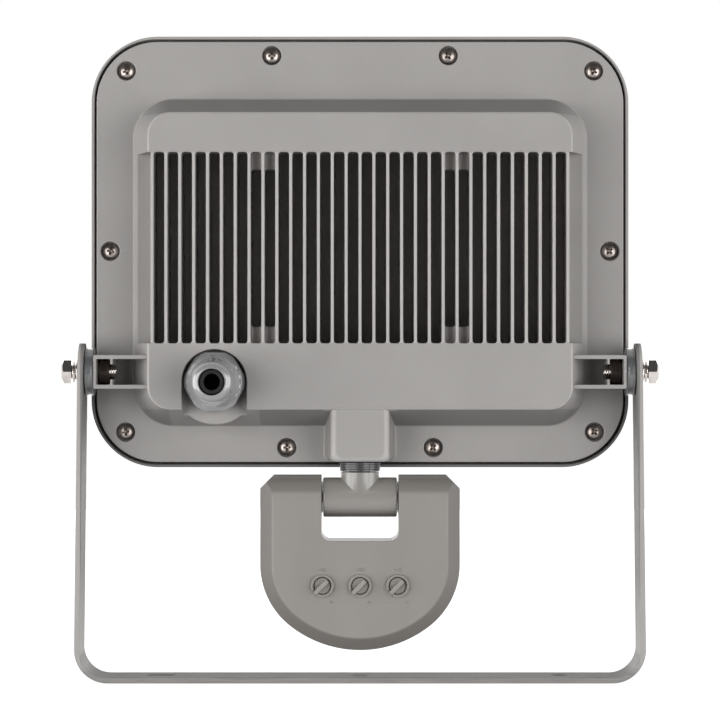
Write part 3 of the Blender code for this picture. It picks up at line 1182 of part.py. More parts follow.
def make_head(parent):
    """Mould the sensor head's two shells."""
    slope_y = HEAD_REAR_Y - HEAD_BEVEL_DEPTH
    rear = head_block("rear_shell", [(HEAD_SPLIT_Y, 0.0), (slope_y, 0.0),
                                     (HEAD_REAR_Y, HEAD_BEVEL_WIDTH)])
    trim_head(rear)
    hollow = head_block("rear_hollow", [(HEAD_SPLIT_Y - OVERLAP, HEAD_WALL),
                                        (slope_y - HEAD_WALL, HEAD_WALL),
                                        (HEAD_REAR_Y - HEAD_WALL, HEAD_WALL + HEAD_BEVEL_WIDTH)])
    trim_head(hollow, HEAD_WALL)
    cut(rear, hollow)
    rear_inner = HEAD_REAR_Y - HEAD_WALL
    for x, z in mirrored([(BOARD_POST_X, z) for z in BOARD_POST_Z]):
        join(rear, rod("post", along_y(x, 0, z), BOARD_POST_RADIUS, SENSOR_BOARD_REAR_Y + GAP,
                       rear_inner + OVERLAP, BORE_STEPS))
    for x, z in knob_places():
        gap = RING_OPENING / 2
        start, end = POINTER_ANGLE + gap, POINTER_ANGLE + 2 * math.pi - gap
        # Seen from behind, +X lies to the left, so the angle is mirrored
        outer = [(2 * x - a, b) for a, b in arc((x, z), RING_OUTER / 2, start, end, SMALL_STEPS)]
        inner = [(2 * x - a, b) for a, b in arc((x, z), RING_INNER / 2, start, end, SMALL_STEPS)]
        join(rear, flat("knob_ring", [outer + inner[::-1]], HEAD_REAR_Y - OVERLAP,
                        HEAD_REAR_Y + RING_PROUD, LAY_Y))
        cut(rear, rod("knob_hole", along_y(x, 0, z), KNOB_DIAMETER / 2 + GAP,
                      rear_inner - CUT_PAST, HEAD_REAR_Y + CUT_PAST, SMALL_STEPS))
    for side in (1, -1):
        low, high = side_span(side, NOTCH_HALF_WIDTH - OVERLAP, NOTCH_HALF_WIDTH + HEAD_WALL + OVERLAP)
        cut(rear, rod("pin_hole", along_x(0, 0, HINGE_Z), HINGE_PIN_DIAMETER / 2 + GAP, low, high,
                      BORE_STEPS))
    finish(rear, "sensor_rear_shell", GREY_PLASTIC, parent=parent)

    front_edge = HEAD_SPLIT_Y - GAP
    bevel_y = HEAD_FRONT_Y + HEAD_FRONT_BEVEL
    front = head_block("front_shell", [(HEAD_FRONT_Y, HEAD_FRONT_BEVEL), (bevel_y, 0.0),
                                       (front_edge, 0.0)])
    trim_head(front)
    hollow = head_block("front_hollow", [(HEAD_FRONT_Y + HEAD_WALL, HEAD_WALL + HEAD_FRONT_BEVEL),
                                         (bevel_y + HEAD_WALL, HEAD_WALL),
                                         (front_edge + OVERLAP, HEAD_WALL)])
    trim_head(hollow, HEAD_WALL)
    cut(front, hollow)
    opening = rod("lens_opening", Matrix.Identity(4), LENS_HALF_HEIGHT + GAP, -CUT_PAST, CUT_PAST,
                  LENS_STEPS)
    opening.data.transform(lens_place(HEAD_FRONT_Y))
    cut(front, opening)
    finish(front, "sensor_front_shell", GREY_PLASTIC, parent=parent)


def lens_place(y):
    """Place the lens's axis along -Y and stretch it sideways."""
    stretch = Matrix.Diagonal((LENS_WIDTH_RATIO, 1, 1, 1))
    return Matrix.Translation((0, y, LENS_Z)) @ stretch @ Matrix.Rotation(math.pi / 2, 4, 'X')


def make_sensor_inside(parent):
    """Make the lens, board, detector, potentiometers and hinge pins."""
    seat = -HEAD_WALL - GAP
    outside, room = [], []
    for i in range(LENS_RINGS + 1):
        angle = math.pi / 2 * (1 - i / LENS_RINGS)
        outside.append((LENS_HALF_HEIGHT * math.cos(angle), LENS_BULGE * math.sin(angle)))
        room.append(((LENS_HALF_HEIGHT - LENS_WALL) * math.cos(angle),
                     (LENS_BULGE - LENS_WALL) * math.sin(angle)))
    wide = LENS_HALF_HEIGHT + LENS_FLANGE
    profile = outside + [(LENS_HALF_HEIGHT, seat), (wide, seat), (wide, seat - LENS_WALL),
                         (LENS_HALF_HEIGHT - LENS_WALL, seat - LENS_WALL)] + room[::-1]
    lens = turned("lens", profile, lens_place(HEAD_FRONT_Y), LENS_STEPS)
    finish(lens, "pir_lens", WHITE_PLASTIC, parent=parent)

    board_front = SENSOR_BOARD_REAR_Y - SENSOR_BOARD_THICKNESS
    outline = rounded(-SENSOR_BOARD_HALF_WIDTH, SENSOR_BOARD_HALF_WIDTH, SENSOR_BOARD_BOTTOM_Z,
                      SENSOR_BOARD_TOP_Z, SENSOR_BOARD_THICKNESS, SMALL_CORNER_STEPS)
    finish(flat("board", [outline], board_front, SENSOR_BOARD_REAR_Y, LAY_Y), "sensor_board",
           BOARD_GREEN, parent=parent)
    place = along_y(0, 0, LENS_Z)
    finish(rod("element", place, ELEMENT_DIAMETER / 2, board_front - GAP - ELEMENT_HEIGHT,
               board_front - GAP), "pir_element", STEEL, parent=parent)
    half = POT_SIZE / 2
    for word, (x, z) in zip(("left", "middle", "right"), knob_places()):
        pot = box("pot", (x - half, SENSOR_BOARD_REAR_Y + GAP, z - half), (x + half, POT_REAR_Y, z + half))
        finish(pot, f"potentiometer_{word}", SPACER_PLASTIC, parent=parent)
    for side, word in ((1, "left"), (-1, "right")):
        place = along_x(0, 0, HINGE_Z, side)
        head_x = NOTCH_HALF_WIDTH + HEAD_WALL + GAP
        pin = rod("pin", place, HINGE_PIN_DIAMETER / 2, BARREL_HALF_LENGTH - HINGE_PIN_DEPTH,
                  head_x + OVERLAP, BORE_STEPS)
        join(pin, rod("pin_head", place, HINGE_PIN_HEAD / 2, head_x, head_x + HINGE_PIN_HEAD_HEIGHT,
                      SCREW_STEPS))
        finish(pin, f"hinge_pin_{word}", STEEL, parent=parent)


def make_knobs(parent):
    """Make the three adjusting knobs, each with a pointer bar across its face."""
    face_y = HEAD_REAR_Y + KNOB_PROUD
    over_ring_y = HEAD_REAR_Y + RING_PROUD + GAP
    for word, (x, z) in zip(("left", "middle", "right"), knob_places()):
        origin = (x, face_y, z)
        knob = rod("knob", along_y(x, 0, z), KNOB_DIAMETER / 2, face_y - KNOB_THICKNESS, face_y)
        join(knob, rod("shaft", along_y(x, 0, z), KNOB_SHAFT / 2, POT_REAR_Y + GAP,
                       face_y - KNOB_THICKNESS + OVERLAP, BORE_STEPS))
        tail = KNOB_DIAMETER / 2 - GAP
        for low, high, floor in ((-tail, tail, face_y - OVERLAP),
                                 (-tail, POINTER_REACH, over_ring_y)):
            bar = box("bar", (low, floor, -POINTER_WIDTH / 2),
                      (high, over_ring_y + POINTER_HEIGHT, POINTER_WIDTH / 2))
            # The pointer rests at half past seven as seen from behind
            bar.data.transform(Matrix.Translation((x, 0, z))
                               @ Matrix.Rotation(math.pi - POINTER_ANGLE, 4, 'Y').inverted())
            join(knob, bar)
        finish(knob, f"adjusting_knob_{word}", GREY_PLASTIC, origin=origin, parent=parent)


def build():
    """Make every piece of the floodlight."""
    bracket = make_bracket()
    lamp = pivot_empty("lamp_pivot", (0, 0, PIVOT_Z))
    make_housing()
    make_frame()
    make_window()
    make_reflector()
    make_led_board()
    make_housing_screws()
    make_electrics()
    for side in (1, -1):
        make_pivot(side)
    make_gland()
    make_collar()
    for piece in list(PARTS.objects):
        if piece not in (bracket, lamp):
            attach(piece, lamp)
    swivel = pivot_empty("sensor_swivel", (0, 0, STUB_TOP_Z), lamp)
    tilt = pivot_empty("sensor_tilt", (0, 0, HINGE_Z), swivel)
    make_tee(swivel)
    make_head(tilt)
    make_sensor_inside(tilt)
    make_knobs(tilt)


build()
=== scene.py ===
"""Looks of the LED floodlight with its motion sensor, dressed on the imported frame.

Units are metres, with +Z up. The glass faces -Y. The fins, the cable gland and the
controls face +Y, where the photograph was taken from, so the picture's left is +X.
"""

import logging
import math
from collections.abc import Callable
from dataclasses import dataclass
from enum import Enum
from typing import ClassVar

import bmesh
import bpy
from mathutils import Matrix, Vector


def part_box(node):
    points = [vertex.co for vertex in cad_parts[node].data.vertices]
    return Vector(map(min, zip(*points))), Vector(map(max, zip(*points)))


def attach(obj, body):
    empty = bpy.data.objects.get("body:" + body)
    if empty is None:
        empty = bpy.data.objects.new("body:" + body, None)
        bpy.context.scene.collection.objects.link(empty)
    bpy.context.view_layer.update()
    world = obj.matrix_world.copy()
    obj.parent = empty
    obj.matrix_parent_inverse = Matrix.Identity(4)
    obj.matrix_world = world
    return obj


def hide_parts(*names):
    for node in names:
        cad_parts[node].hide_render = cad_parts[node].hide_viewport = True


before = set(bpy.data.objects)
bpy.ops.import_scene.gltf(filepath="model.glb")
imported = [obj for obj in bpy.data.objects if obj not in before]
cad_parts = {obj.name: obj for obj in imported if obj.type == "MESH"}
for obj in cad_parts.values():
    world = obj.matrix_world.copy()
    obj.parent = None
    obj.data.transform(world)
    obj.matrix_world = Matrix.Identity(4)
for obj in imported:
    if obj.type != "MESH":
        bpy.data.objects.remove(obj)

LOG = logging.getLogger("floodlight")
QUARTER = math.pi / 2
# Clearance between pieces that touch, and how far a cutter reaches past what it cuts.
GAP = 0.0003
PAST = 0.004
# How deep a solid sinks into the one that it is fused with.
SINK = 0.001
# Corner of the glass, which its gasket and the reflector tray share.
GLASS_CORNER = 0.0207
# Width over which painted light or painted shade fades in at the border of a room on the castings.
SOFT_BORDER = 0.0002

Point = tuple[float, float]
Outline = list[Point]
Ring = list[Vector]
Colour = tuple[float, float, float]
Room = tuple[Colour, Colour, float]
Socket = bpy.types.NodeSocket
Inputs = dict[str | int, float | tuple[float, ...] | Socket]


class Body(Enum):
    """Bodies of the frame that pieces ride on."""

    BRACKET = "bracket"
    LAMP = "lamp"
    ARM = "sensor_arm"
    HEAD = "sensor_head"
    KNOB_LEFT = "knob_left"
    KNOB_MIDDLE = "knob_middle"
    KNOB_RIGHT = "knob_right"


class Way(Enum):
    """How a flat outline lies: its two directions, then the one it is thick along."""

    XZ = Matrix(((1, 0, 0, 0), (0, 0, 1, 0), (0, 1, 0, 0), (0, 0, 0, 1)))
    YZ = Matrix(((0, 0, 1, 0), (1, 0, 0, 0), (0, 1, 0, 0), (0, 0, 0, 1)))
    XY = Matrix.Identity(4)


def arc(centre: Point, radius: float, start: float, end: float, steps: int = 12) -> Outline:
    """List points on an arc between two angles in radians, both ends included."""
    turns = [start + (end - start) * i / steps for i in range(steps + 1)]
    return [(centre[0] + radius * math.cos(a), centre[1] + radius * math.sin(a)) for a in turns]


def circle(centre: Point, radius: float, steps: int = 48) -> Outline:
    """List points round a full circle."""
    return arc(centre, radius, 0.0, 2 * math.pi * (steps - 1) / steps, steps - 1)


def rounded(left: float, right: float, low: float, high: float, radius: float,
            steps: int = 12) -> Outline:
    """List the outline of a rectangle with round corners.

    Args:
        left: lowest value across.
        right: highest value across.
        low: lowest value up.
        high: highest value up.
        radius: radius of the corners.
        steps: parts of each corner.

    Returns:
        The outline, anticlockwise from the right.
    """
    corners = ((right - radius, high - radius), (left + radius, high - radius),
               (left + radius, low + radius), (right - radius, low + radius))
    points: Outline = []
    for i, centre in enumerate(corners):
        points += arc(centre, radius, i * QUARTER, (i + 1) * QUARTER, steps)
    return points


def soften(points: Outline, radii: list[float], steps: int = 6, closed: bool = False) -> Outline:
    """Round the corners of a line of points.

    Args:
        points: the corners in order.
        radii: the radius for each corner, 0 where it stays sharp.
        steps: parts of each rounding.
        closed: whether the last point leads back to the first.

    Returns:
        The line with its corners rounded.
    """
    result: Outline = []
    for i, (corner, radius) in enumerate(zip(points, radii)):
        here = Vector(corner)
        back = Vector(points[i - 1]) - here
        ahead = Vector(points[(i + 1) % len(points)]) - here
        if radius <= 0 or (not closed and i in (0, len(points) - 1)):
            result.append(corner)
            continue
        spread = back.angle(ahead)
        reach = min(radius / math.tan(spread / 2), 0.49 * back.length, 0.49 * ahead.length)
        swing = math.pi - spread
        centre = here + (back.normalized() + ahead.normalized()).normalized() * (
            reach / math.cos(spread / 2))
        start = here + back.normalized() * reach - centre
        end = here + ahead.normalized() * reach - centre
        for k in range(steps + 1):
            one = math.sin((1 - k / steps) * swing) / math.sin(swing)
            two = math.sin(k / steps * swing) / math.sin(swing)
            result.append(tuple(centre + start * one + end * two))
    return result


def along_x(x: float, y: float, z: float, side: int = 1) -> Matrix:
    """Place local Z along +X, or along -X for side -1."""
    return Matrix.Translation((x, y, z)) @ Matrix.Rotation(side * QUARTER, 4, 'Y')


def along_y(x: float, y: float, z: float) -> Matrix:
    """Place local Z along +Y."""
    return Matrix.Translation((x, y, z)) @ Matrix.Rotation(-QUARTER, 4, 'X')


def along_z(x: float, y: float, z: float) -> Matrix:
    """Place local Z along +Z."""
    return Matrix.Translation((x, y, z))


def middle(node: str) -> Vector:
    """Return the middle of a node's box."""
    low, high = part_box(node)
    return (low + high) / 2


def level(outline: Outline, y: float) -> Ring:
    """Put an outline of (x, z) points at one level of Y."""
    return [Vector((x, y, z)) for x, z in outline]


class Solid:
    """A working mesh that is joined and cut until it is dressed as a piece."""

    def __init__(self, name: str, mesh: bpy.types.Mesh) -> None:
        """Put a mesh in the scene."""
        self.obj = bpy.data.objects.new(name, mesh)
        bpy.context.scene.collection.objects.link(self.obj)

    @classmethod
    def take(cls, name: str, work: bmesh.types.BMesh) -> "Solid":
        """Close a bmesh into a solid.

        Args:
            name: name of the solid.
            work: the bmesh, which is freed.

        Returns:
            The solid, with double points joined and its faces turned outward.
        """
        bmesh.ops.remove_doubles(work, verts=work.verts, dist=1e-7)
        bmesh.ops.recalc_face_normals(work, faces=work.faces)
        mesh = bpy.data.meshes.new(name)
        work.to_mesh(mesh)
        work.free()
        return cls(name, mesh)

    @classmethod
    def loft(cls, name: str, rings: list[Ring], closed: bool = False, caps: bool = True) -> "Solid":
        """Skin rings of equal point counts.

        Args:
            name: name of the solid.
            rings: the rings in order.
            closed: whether the last ring leads back to the first.
            caps: whether the first and the last ring are filled.

        Returns:
            The solid.
        """
        work = bmesh.new()
        loops = [[work.verts.new(point) for point in ring] for ring in rings]
        pairs = list(zip(loops, loops[1:]))
        if closed:
            pairs.append((loops[-1], loops[0]))
        elif caps:
            work.faces.new(loops[0])
            work.faces.new(loops[-1])
        for one, two in pairs:
            for i in range(len(one)):
                j = (i + 1) % len(one)
                work.faces.new((one[i], one[j], two[j], two[i]))
        return cls.take(name, work)

    @classmethod
    def turned(cls, name: str, profile: Outline, place: Matrix, steps: int = 64, ring: bool = False,
               shape: Callable[[float, float], float] | None = None) -> "Solid":
        """Turn a profile of (radius, height) points about the local Z of a placing matrix.

        Args:
            name: name of the solid.
            profile: the points in order; a ring's profile is closed.
            place: the placing matrix.
            steps: parts of the turn.
            ring: whether the profile is closed.
            shape: what is added to the radius at an angle and a height, for ridges or threads.

        Returns:
            The solid.
        """
        turns = [2 * math.pi * i / steps for i in range(steps)]
        rings = []
        for radius, height in profile:
            grown = [radius + (shape(a, height) if shape and radius > 0 else 0.0) for a in turns]
            rings.append([place @ Vector((r * math.cos(a), r * math.sin(a), height))
                          for r, a in zip(grown, turns)])
        caps = not ring and profile[0][0] > 0 and profile[-1][0] > 0
        return cls.loft(name, rings, closed=ring, caps=caps)

    @classmethod
    def flat(cls, name: str, outlines: list[Outline], low: float, high: float, edge: float = 0.0,
             way: Way = Way.XZ) -> "Solid":
        """Extrude flat outlines from one level to another.

        Args:
            name: name of the solid.
            outlines: the outside first, then the holes.
            low: first level.
            high: last level.
            edge: radius of the rounding along both rims.
            way: how the outlines lie.

        Returns:
            The solid.
        """
        curve = bpy.data.curves.new(name, 'CURVE')
        curve.dimensions = '2D'
        curve.fill_mode = 'BOTH'
        curve.extrude = (high - low) / 2 - edge
        curve.bevel_depth = edge
        curve.bevel_resolution = 2
        curve.offset = -edge
        for outline in outlines:
            spline = curve.splines.new('POLY')
            spline.points.add(len(outline) - 1)
            for point, (across, up) in zip(spline.points, outline):
                point.co = (across, up, 0, 1)
            spline.use_cyclic_u = True
        guide = bpy.data.objects.new(name, curve)
        bpy.context.scene.collection.objects.link(guide)
        graph = bpy.context.evaluated_depsgraph_get()
        work = bmesh.new()
        mesh = bpy.data.meshes.new_from_object(guide.evaluated_get(graph))
        work.from_mesh(mesh)
        bpy.data.meshes.remove(mesh)
        bpy.data.objects.remove(guide)
        work.transform(way.value @ Matrix.Translation((0, 0, (low + high) / 2)))
        bmesh.ops.remove_doubles(work, verts=work.verts, dist=1e-6)
        return cls.take(name, work)

    @classmethod
    def rod(cls, name: str, place: Matrix, radius: float, low: float, high: float,
            sides: int = 48, edge: float = 0.0) -> "Solid":
        """Make a rod of many sides between two levels along a matrix's local Z, with soft ends."""
        profile = soften([(0.0, low), (radius, low), (radius, high), (0.0, high)], [0, edge, edge, 0], 4)
        return cls.turned(name, profile, place, sides)

    @classmethod
    def box(cls, name: str, low: Vector, high: Vector, edge: float = 0.0) -> "Solid":
        """Make a block between two corners, with rounded edges.

        Args:
            name: name of the solid.
            low: lowest corner.
            high: highest corner.
            edge: radius of the rounding.

        Returns:
            The solid.
        """
        work = bmesh.new()
        bmesh.ops.create_cube(work, size=1.0)
        bmesh.ops.scale(work, vec=high - low, verts=work.verts)
        bmesh.ops.translate(work, vec=(low + high) / 2, verts=work.verts)
        if edge:
            bmesh.ops.bevel(work, geom=work.edges[:], offset=edge, segments=3, profile=0.5,
                            affect='EDGES')
        return cls.take(name, work)

    def combine(self, operation: str, others: tuple["Solid", ...]) -> "Solid":
        """Run one Boolean for each of the others, which are used up.

        Args:
            operation: Blender's name of the Boolean.
            others: the solids that are joined, cut out or kept.

        Returns:
            This solid.
        """
        for other in others:
            step = self.obj.modifiers.new("step", 'BOOLEAN')
            step.operation = operation
            step.solver = 'EXACT'
            step.object = other.obj
            graph = bpy.context.evaluated_depsgraph_get()
            mesh = bpy.data.meshes.new_from_object(self.obj.evaluated_get(graph))
            self.obj.modifiers.clear()
            self.obj.data = mesh
            bpy.data.objects.remove(other.obj)
        return self

    def join(self, *others: "Solid") -> "Solid":
        """Fuse solids into this one."""
        return self.combine('UNION', others)

    def cut(self, *others: "Solid") -> "Solid":
        """Cut solids out of this one."""
        return self.combine('DIFFERENCE', others)

    def keep(self, *others: "Solid") -> "Solid":
        """Keep only what this solid shares with the others."""
        return self.combine('INTERSECT', others)

    def gather(self, *others: "Solid") -> "Solid":
        """Take other solids into the same mesh, as they are.

        Args:
            others: the solids that are taken in, which are used up.

        Returns:
            This solid.
        """
        work = bmesh.new()
        for solid in (self, *others):
            work.from_mesh(solid.obj.data)
        for other in others:
            bpy.data.objects.remove(other.obj)
        work.to_mesh(self.obj.data)
        work.free()
        return self

    def dress(self, name: str, finish: "Finish", *stands_for: str, body: Body = Body.LAMP,
              smooth: float = 35.0) -> bpy.types.Object:
        """Name, shade and colour the piece and let it ride on its body.

        Args:
            name: name of the piece.
            finish: its finish.
            stands_for: the frame's nodes that it replaces.
            body: the body that it rides on.
            smooth: angle in degrees below which an edge is shaded round.

        Returns:
            The finished object.
        """
        obj = self.obj
        obj.name = name
        obj.data.name = name
        obj.data.materials.clear()
        obj.data.materials.append(finish.material())
        obj.data.shade_smooth()
        obj.data.set_sharp_from_angle(angle=math.radians(smooth))
        weighted = obj.modifiers.new("even_shading", 'WEIGHTED_NORMAL')
        weighted.keep_sharp = True
        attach(obj, body.value)
        if stands_for:
            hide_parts(*stands_for)
        LOG.info("%s: %d faces", name, len(obj.data.polygons))
        return obj


def fill(node: bpy.types.Node, inputs: Inputs) -> bpy.types.Node:
    """Give a node's inputs their values, or link them to other nodes' sockets.

    Args:
        node: the node.
        inputs: what each input gets, by its name or number.

    Returns:
        The same node.
    """
    for name, value in inputs.items():
        if isinstance(value, Socket):
            node.id_data.links.new(value, node.inputs[name])
        else:
            node.inputs[name].default_value = value
    return node


def added(tree: bpy.types.NodeTree, kind: str, inputs: Inputs, operation: str = "") -> bpy.types.Node:
    """Add a node with its inputs filled.

    Args:
        tree: the nodes that it joins.
        kind: its type, without the word that all types start with.
        inputs: what each input gets, by its name or number.
        operation: what a node that calculates does.

    Returns:
        The node.
    """
    node = tree.nodes.new(f"ShaderNode{kind}")
    if operation:
        node.operation = operation
    return fill(node, inputs)


def worked_out(tree: bpy.types.NodeTree, operation: str, *values: float | Socket) -> Socket:
    """Work out one value from others."""
    return added(tree, "Math", dict(enumerate(values)), operation).outputs[0]


def shade(colour: Colour, factor: float) -> Colour:
    """Make a colour lighter or darker."""
    return tuple(min(1.0, part * factor) for part in colour)


class Graph:
    """Node graph of one material, with short calls for what the finishes share."""

    def __init__(self, name: str, colour: Colour, roughness: float, metallic: float) -> None:
        """Start a material with the plain values on its shader.

        Args:
            name: name of the material.
            colour: colour of its shader.
            roughness: roughness of its shader.
            metallic: 1 for bare metal and 0 for all else.
        """
        self.material = bpy.data.materials.new(name)
        self.material.use_nodes = True
        self.tree = self.material.node_tree
        self.shader = self.tree.nodes["Principled BSDF"]
        self.set(Base_Color=(*colour, 1.0), Roughness=roughness, Metallic=metallic)
        self.place = self.tree.nodes.new("ShaderNodeTexCoord").outputs["Object"]

    def set(self, **values: float | tuple[float, ...] | Socket) -> None:
        """Set or link the shader's inputs; an underscore in a name stands for a space."""
        fill(self.shader, {name.replace("_", " "): value for name, value in values.items()})

    def noise(self, size: float, detail: float = 2.0, stretch: Colour = (1, 1, 1)) -> Socket:
        """Add noise with clouds of a size in metres, drawn out along the axes by factors."""
        drawn = added(self.tree, "VectorMath", {0: self.place, 1: stretch}, 'MULTIPLY').outputs[0]
        return added(self.tree, "TexNoise", {"Vector": drawn, "Scale": 1 / size, "Detail": detail}).outputs[0]

    def cells(self, size: float) -> Socket:
        """Add a pattern of cells of a size in metres and return the distance in each cell."""
        return added(self.tree, "TexVoronoi", {"Vector": self.place, "Scale": 1 / size}).outputs["Distance"]

    def spread(self, value: Socket, low: float, high: float, start: float = 0.0, end: float = 1.0) -> Socket:
        """Map a value to another span: what is at start gets low, and what is at end gets high."""
        inputs = {"Value": value, "From Min": start, "From Max": end, "To Min": low, "To Max": high}
        return added(self.tree, "MapRange", inputs).outputs[0]

    def blend(self, factor: Socket, one: Colour | Socket, two: Colour | Socket) -> Socket:
        """Mix two colours.

        Args:
            factor: share of the second colour.
            one: first colour.
            two: second colour.

        Returns:
            The mixed colour.
        """
        node = added(self.tree, "Mix", {})
        node.data_type = 'RGBA'
        ends = [(*colour, 1.0) if isinstance(colour, tuple) else colour for colour in (one, two)]
        return fill(node, {0: factor, 6: ends[0], 7: ends[1]}).outputs[2]

    def mottled(self, pattern: Socket, colour: Colour, low: float, high: float, start: float = 0.35,
                end: float = 0.65, most: float = 1.0) -> Socket:
        """Vary a colour's tone by a pattern: times low up to start, and times high from end on."""
        share = self.spread(pattern, 0.0, most, start, end)
        return self.blend(share, shade(colour, low), shade(colour, high))

    def band(self, axis: str, start: float, end: float, soft: float) -> Socket:
        """Mark a band across an axis.

        Args:
            axis: X, Y or Z.
            start: lowest value of the band.
            end: highest value of the band.
            soft: width of its soft borders.

        Returns:
            1 inside the band and 0 outside.
        """
        along = added(self.tree, "SeparateXYZ", {0: self.place}).outputs[axis]
        away, half = worked_out(self.tree, 'SUBTRACT', along, (start + end) / 2), (end - start) / 2
        return self.spread(worked_out(self.tree, 'ABSOLUTE', away), 1.0, 0.0, half, half + soft)

    def room(self, low: Colour, high: Colour) -> Socket:
        """Give 1 in the room between two corners and 0 outside."""
        across, through, up = [self.band(*span, SOFT_BORDER) for span in zip("XYZ", low, high)]
        return worked_out(self.tree, 'MULTIPLY', worked_out(self.tree, 'MULTIPLY', across, through), up)

    def tint(self, mask: Socket, factor: float) -> None:
        """Make the shader's colour lighter or darker where a mask is 1.

        Args:
            mask: 1 where the colour changes and 0 where it stays.
            factor: factor on the colour.
        """
        paint = self.paint()
        other = added(self.tree, "VectorMath", {0: paint, "Scale": factor}, 'SCALE').outputs[0]
        self.set(Base_Color=self.blend(mask, paint, other))

    def paint(self) -> Socket:
        """Return what drives the shader's colour so far."""
        return self.shader.inputs["Base Color"].links[0].from_socket

    def roughness(self, value: Socket, low: float, high: float) -> None:
        """Let the roughness follow a pattern between two levels."""
        self.set(Roughness=self.spread(value, low, high, 0.3, 0.7))

    def relief(self, *layers: tuple[Socket, float]) -> None:
        """Raise the surface by patterns.

        Args:
            layers: each pattern with its height in metres.
        """
        below: Inputs = {}
        for value, height in layers:
            normal = added(self.tree, "Bump", {"Distance": height, "Height": value} | below).outputs["Normal"]
            below = {"Normal": normal}
        self.set(**below)


@dataclass(frozen=True)
class Finish:
    """Finish of a piece: the record's slot that it belongs to, its colour and its gloss."""

    slot: str
    colour: Colour
    roughness: float
    gloss: float = 0.5
    lacquer: float = 0.0
    metal: ClassVar[float] = 0.0
    lacquer_roughness: ClassVar[float] = 0.12

    def material(self) -> bpy.types.Material:
        """Make the finish's material, or find it where it was made before.

        Returns:
            The material.
        """
        name = f"{self.slot}_{type(self).__name__}_{round(self.colour[0] * 1000)}"
        known = bpy.data.materials.get(name)
        if known:
            return known
        graph = Graph(name, self.colour, self.roughness, self.metal)
        self.mix(graph)
        graph.set(Specular_IOR_Level=self.gloss, Coat_Weight=self.lacquer,
                  Coat_Roughness=self.lacquer_roughness)
        return graph.material

    def mix(self, graph: Graph) -> None:
        """Lay the finish's patterns over the plain values, each kind in its own way."""
        raise NotImplementedError


@dataclass(frozen=True)
class PowderCoat(Finish):
    """Powder paint: fine grain, a slight orange peel and faint clouds of tone."""

    grain: float = 0.0005
    grain_height: float = 0.00003
    peel: float = 0.0032
    peel_height: float = 0.00006
    cloud: float = 0.03

    def mix(self, graph: Graph) -> None:
        """Lay grain, peel and clouds over the paint.

        Args:
            graph: the material's nodes.
        """
        grain = graph.noise(self.grain, 3.0)
        tone = graph.mottled(graph.noise(self.cloud, 3.0), self.colour, 0.97, 1.03)
        speckle = graph.spread(grain, 0.0, 0.5, 0.52, 0.8)
        graph.set(Base_Color=graph.blend(speckle, tone, shade(self.colour, 1.12)))
        graph.roughness(grain, self.roughness - 0.05, self.roughness + 0.07)
        graph.relief((grain, self.grain_height), (graph.noise(self.peel, 1.0), self.peel_height))


@dataclass(frozen=True)
class CastCoat(PowderCoat):
    """Powder paint on a casting, with painted highlights along some edges, painted shade on some slopes,
    sides and rims, and painted light deep in the slots.
    """

    rooms: tuple[Room, ...] = ()

    def mix(self, graph: Graph) -> None:
        """Paint the highlights, the light and the shade in the rooms.

        Args:
            graph: the material's nodes.
        """
        super().mix(graph)
        # A factor above 1 paints light or a highlight, and a factor below 1 paints shade.
        for low, high, factor in self.rooms:
            graph.tint(graph.room(low, high), factor)


@dataclass(frozen=True)
class StrapCoat(PowderCoat):
    """Powder paint on bent strap: darker on the foot, which has rolling marks, and painted shade inside the
    legs.
    """

    foot: float = 0.0042
    foot_soft: float = 0.0030
    inner: float = 0.1220
    inner_soft: float = 0.0004
    bend: float = 0.0145
    mark: float = 0.0006
    # Factor that makes the foot darker.
    dull: float = 0.66
    shaded: float = 0.55

    def mix(self, graph: Graph) -> None:
        """Darken the foot, draw its rolling marks and paint shade on the legs' inner sides.

        Args:
            graph: the material's nodes.
        """
        super().mix(graph)
        marks = graph.noise(self.mark, 2.0, (0.03, 1.0, 1.0))
        rolled = graph.mottled(marks, self.colour, self.dull * 0.9, self.dull * 1.1)
        foot = graph.band("Z", -self.foot, self.foot, self.foot_soft)
        graph.set(Base_Color=graph.blend(foot, graph.paint(), rolled))
        # Painted shade on the legs' inner sides, above the foot's bends.
        inside = graph.band("X", -self.inner, self.inner, self.inner_soft)
        above = graph.spread(graph.band("Z", -self.foot, self.foot, self.bend), 1.0, 0.0)
        graph.tint(worked_out(graph.tree, 'MULTIPLY', inside, above), self.shaded)


@dataclass(frozen=True)
class Moulded(Finish):
    """Moulded plastic with a spark-eroded grain, and painted shade on a band across an axis."""

    grain: float = 0.0004
    depth: float = 0.00004
    flow: float = 0.018
    band: tuple[str, float, float] | None = None
    band_soft: float = 0.0005
    band_shade: float = 0.70

    def mix(self, graph: Graph) -> None:
        """Lay the eroded grain and faint flow marks over the plastic, and paint shade on the band.

        Args:
            graph: the material's nodes.
        """
        grain = graph.noise(self.grain, 4.0)
        tone = graph.mottled(graph.noise(self.flow, 2.0, (1.0, 1.0, 0.3)), self.colour, 0.975, 1.025)
        # Painted shade on the band.
        if self.band:
            inside = graph.band(*self.band, self.band_soft)
            tone = graph.blend(inside, tone, shade(self.colour, self.band_shade))
        graph.set(Base_Color=tone)
        graph.roughness(grain, self.roughness - 0.04, self.roughness + 0.08)
        graph.relief((grain, self.depth), (graph.cells(self.grain * 1.6), self.depth / 2))


@dataclass(frozen=True)
class Steel(Finish):
    """Bare steel with drawn or turned marks and dull patches."""

    drawn: Colour = (1.0, 1.0, 1.0)
    mark: float = 0.0004
    mark_height: float = 0.000012
    patch: float = 0.004
    metal: ClassVar[float] = 1.0

    def mix(self, graph: Graph) -> None:
        """Draw the marks out along the way that the piece was worked.

        Args:
            graph: the material's nodes.
        """
        patches = graph.noise(self.patch, 3.0)
        graph.set(Base_Color=graph.mottled(patches, self.colour, 1.0, 0.72, 0.4, 0.7))
        graph.roughness(patches, self.roughness - 0.06, self.roughness + 0.12)
        graph.relief((graph.noise(self.mark, 3.0, self.drawn), self.mark_height))


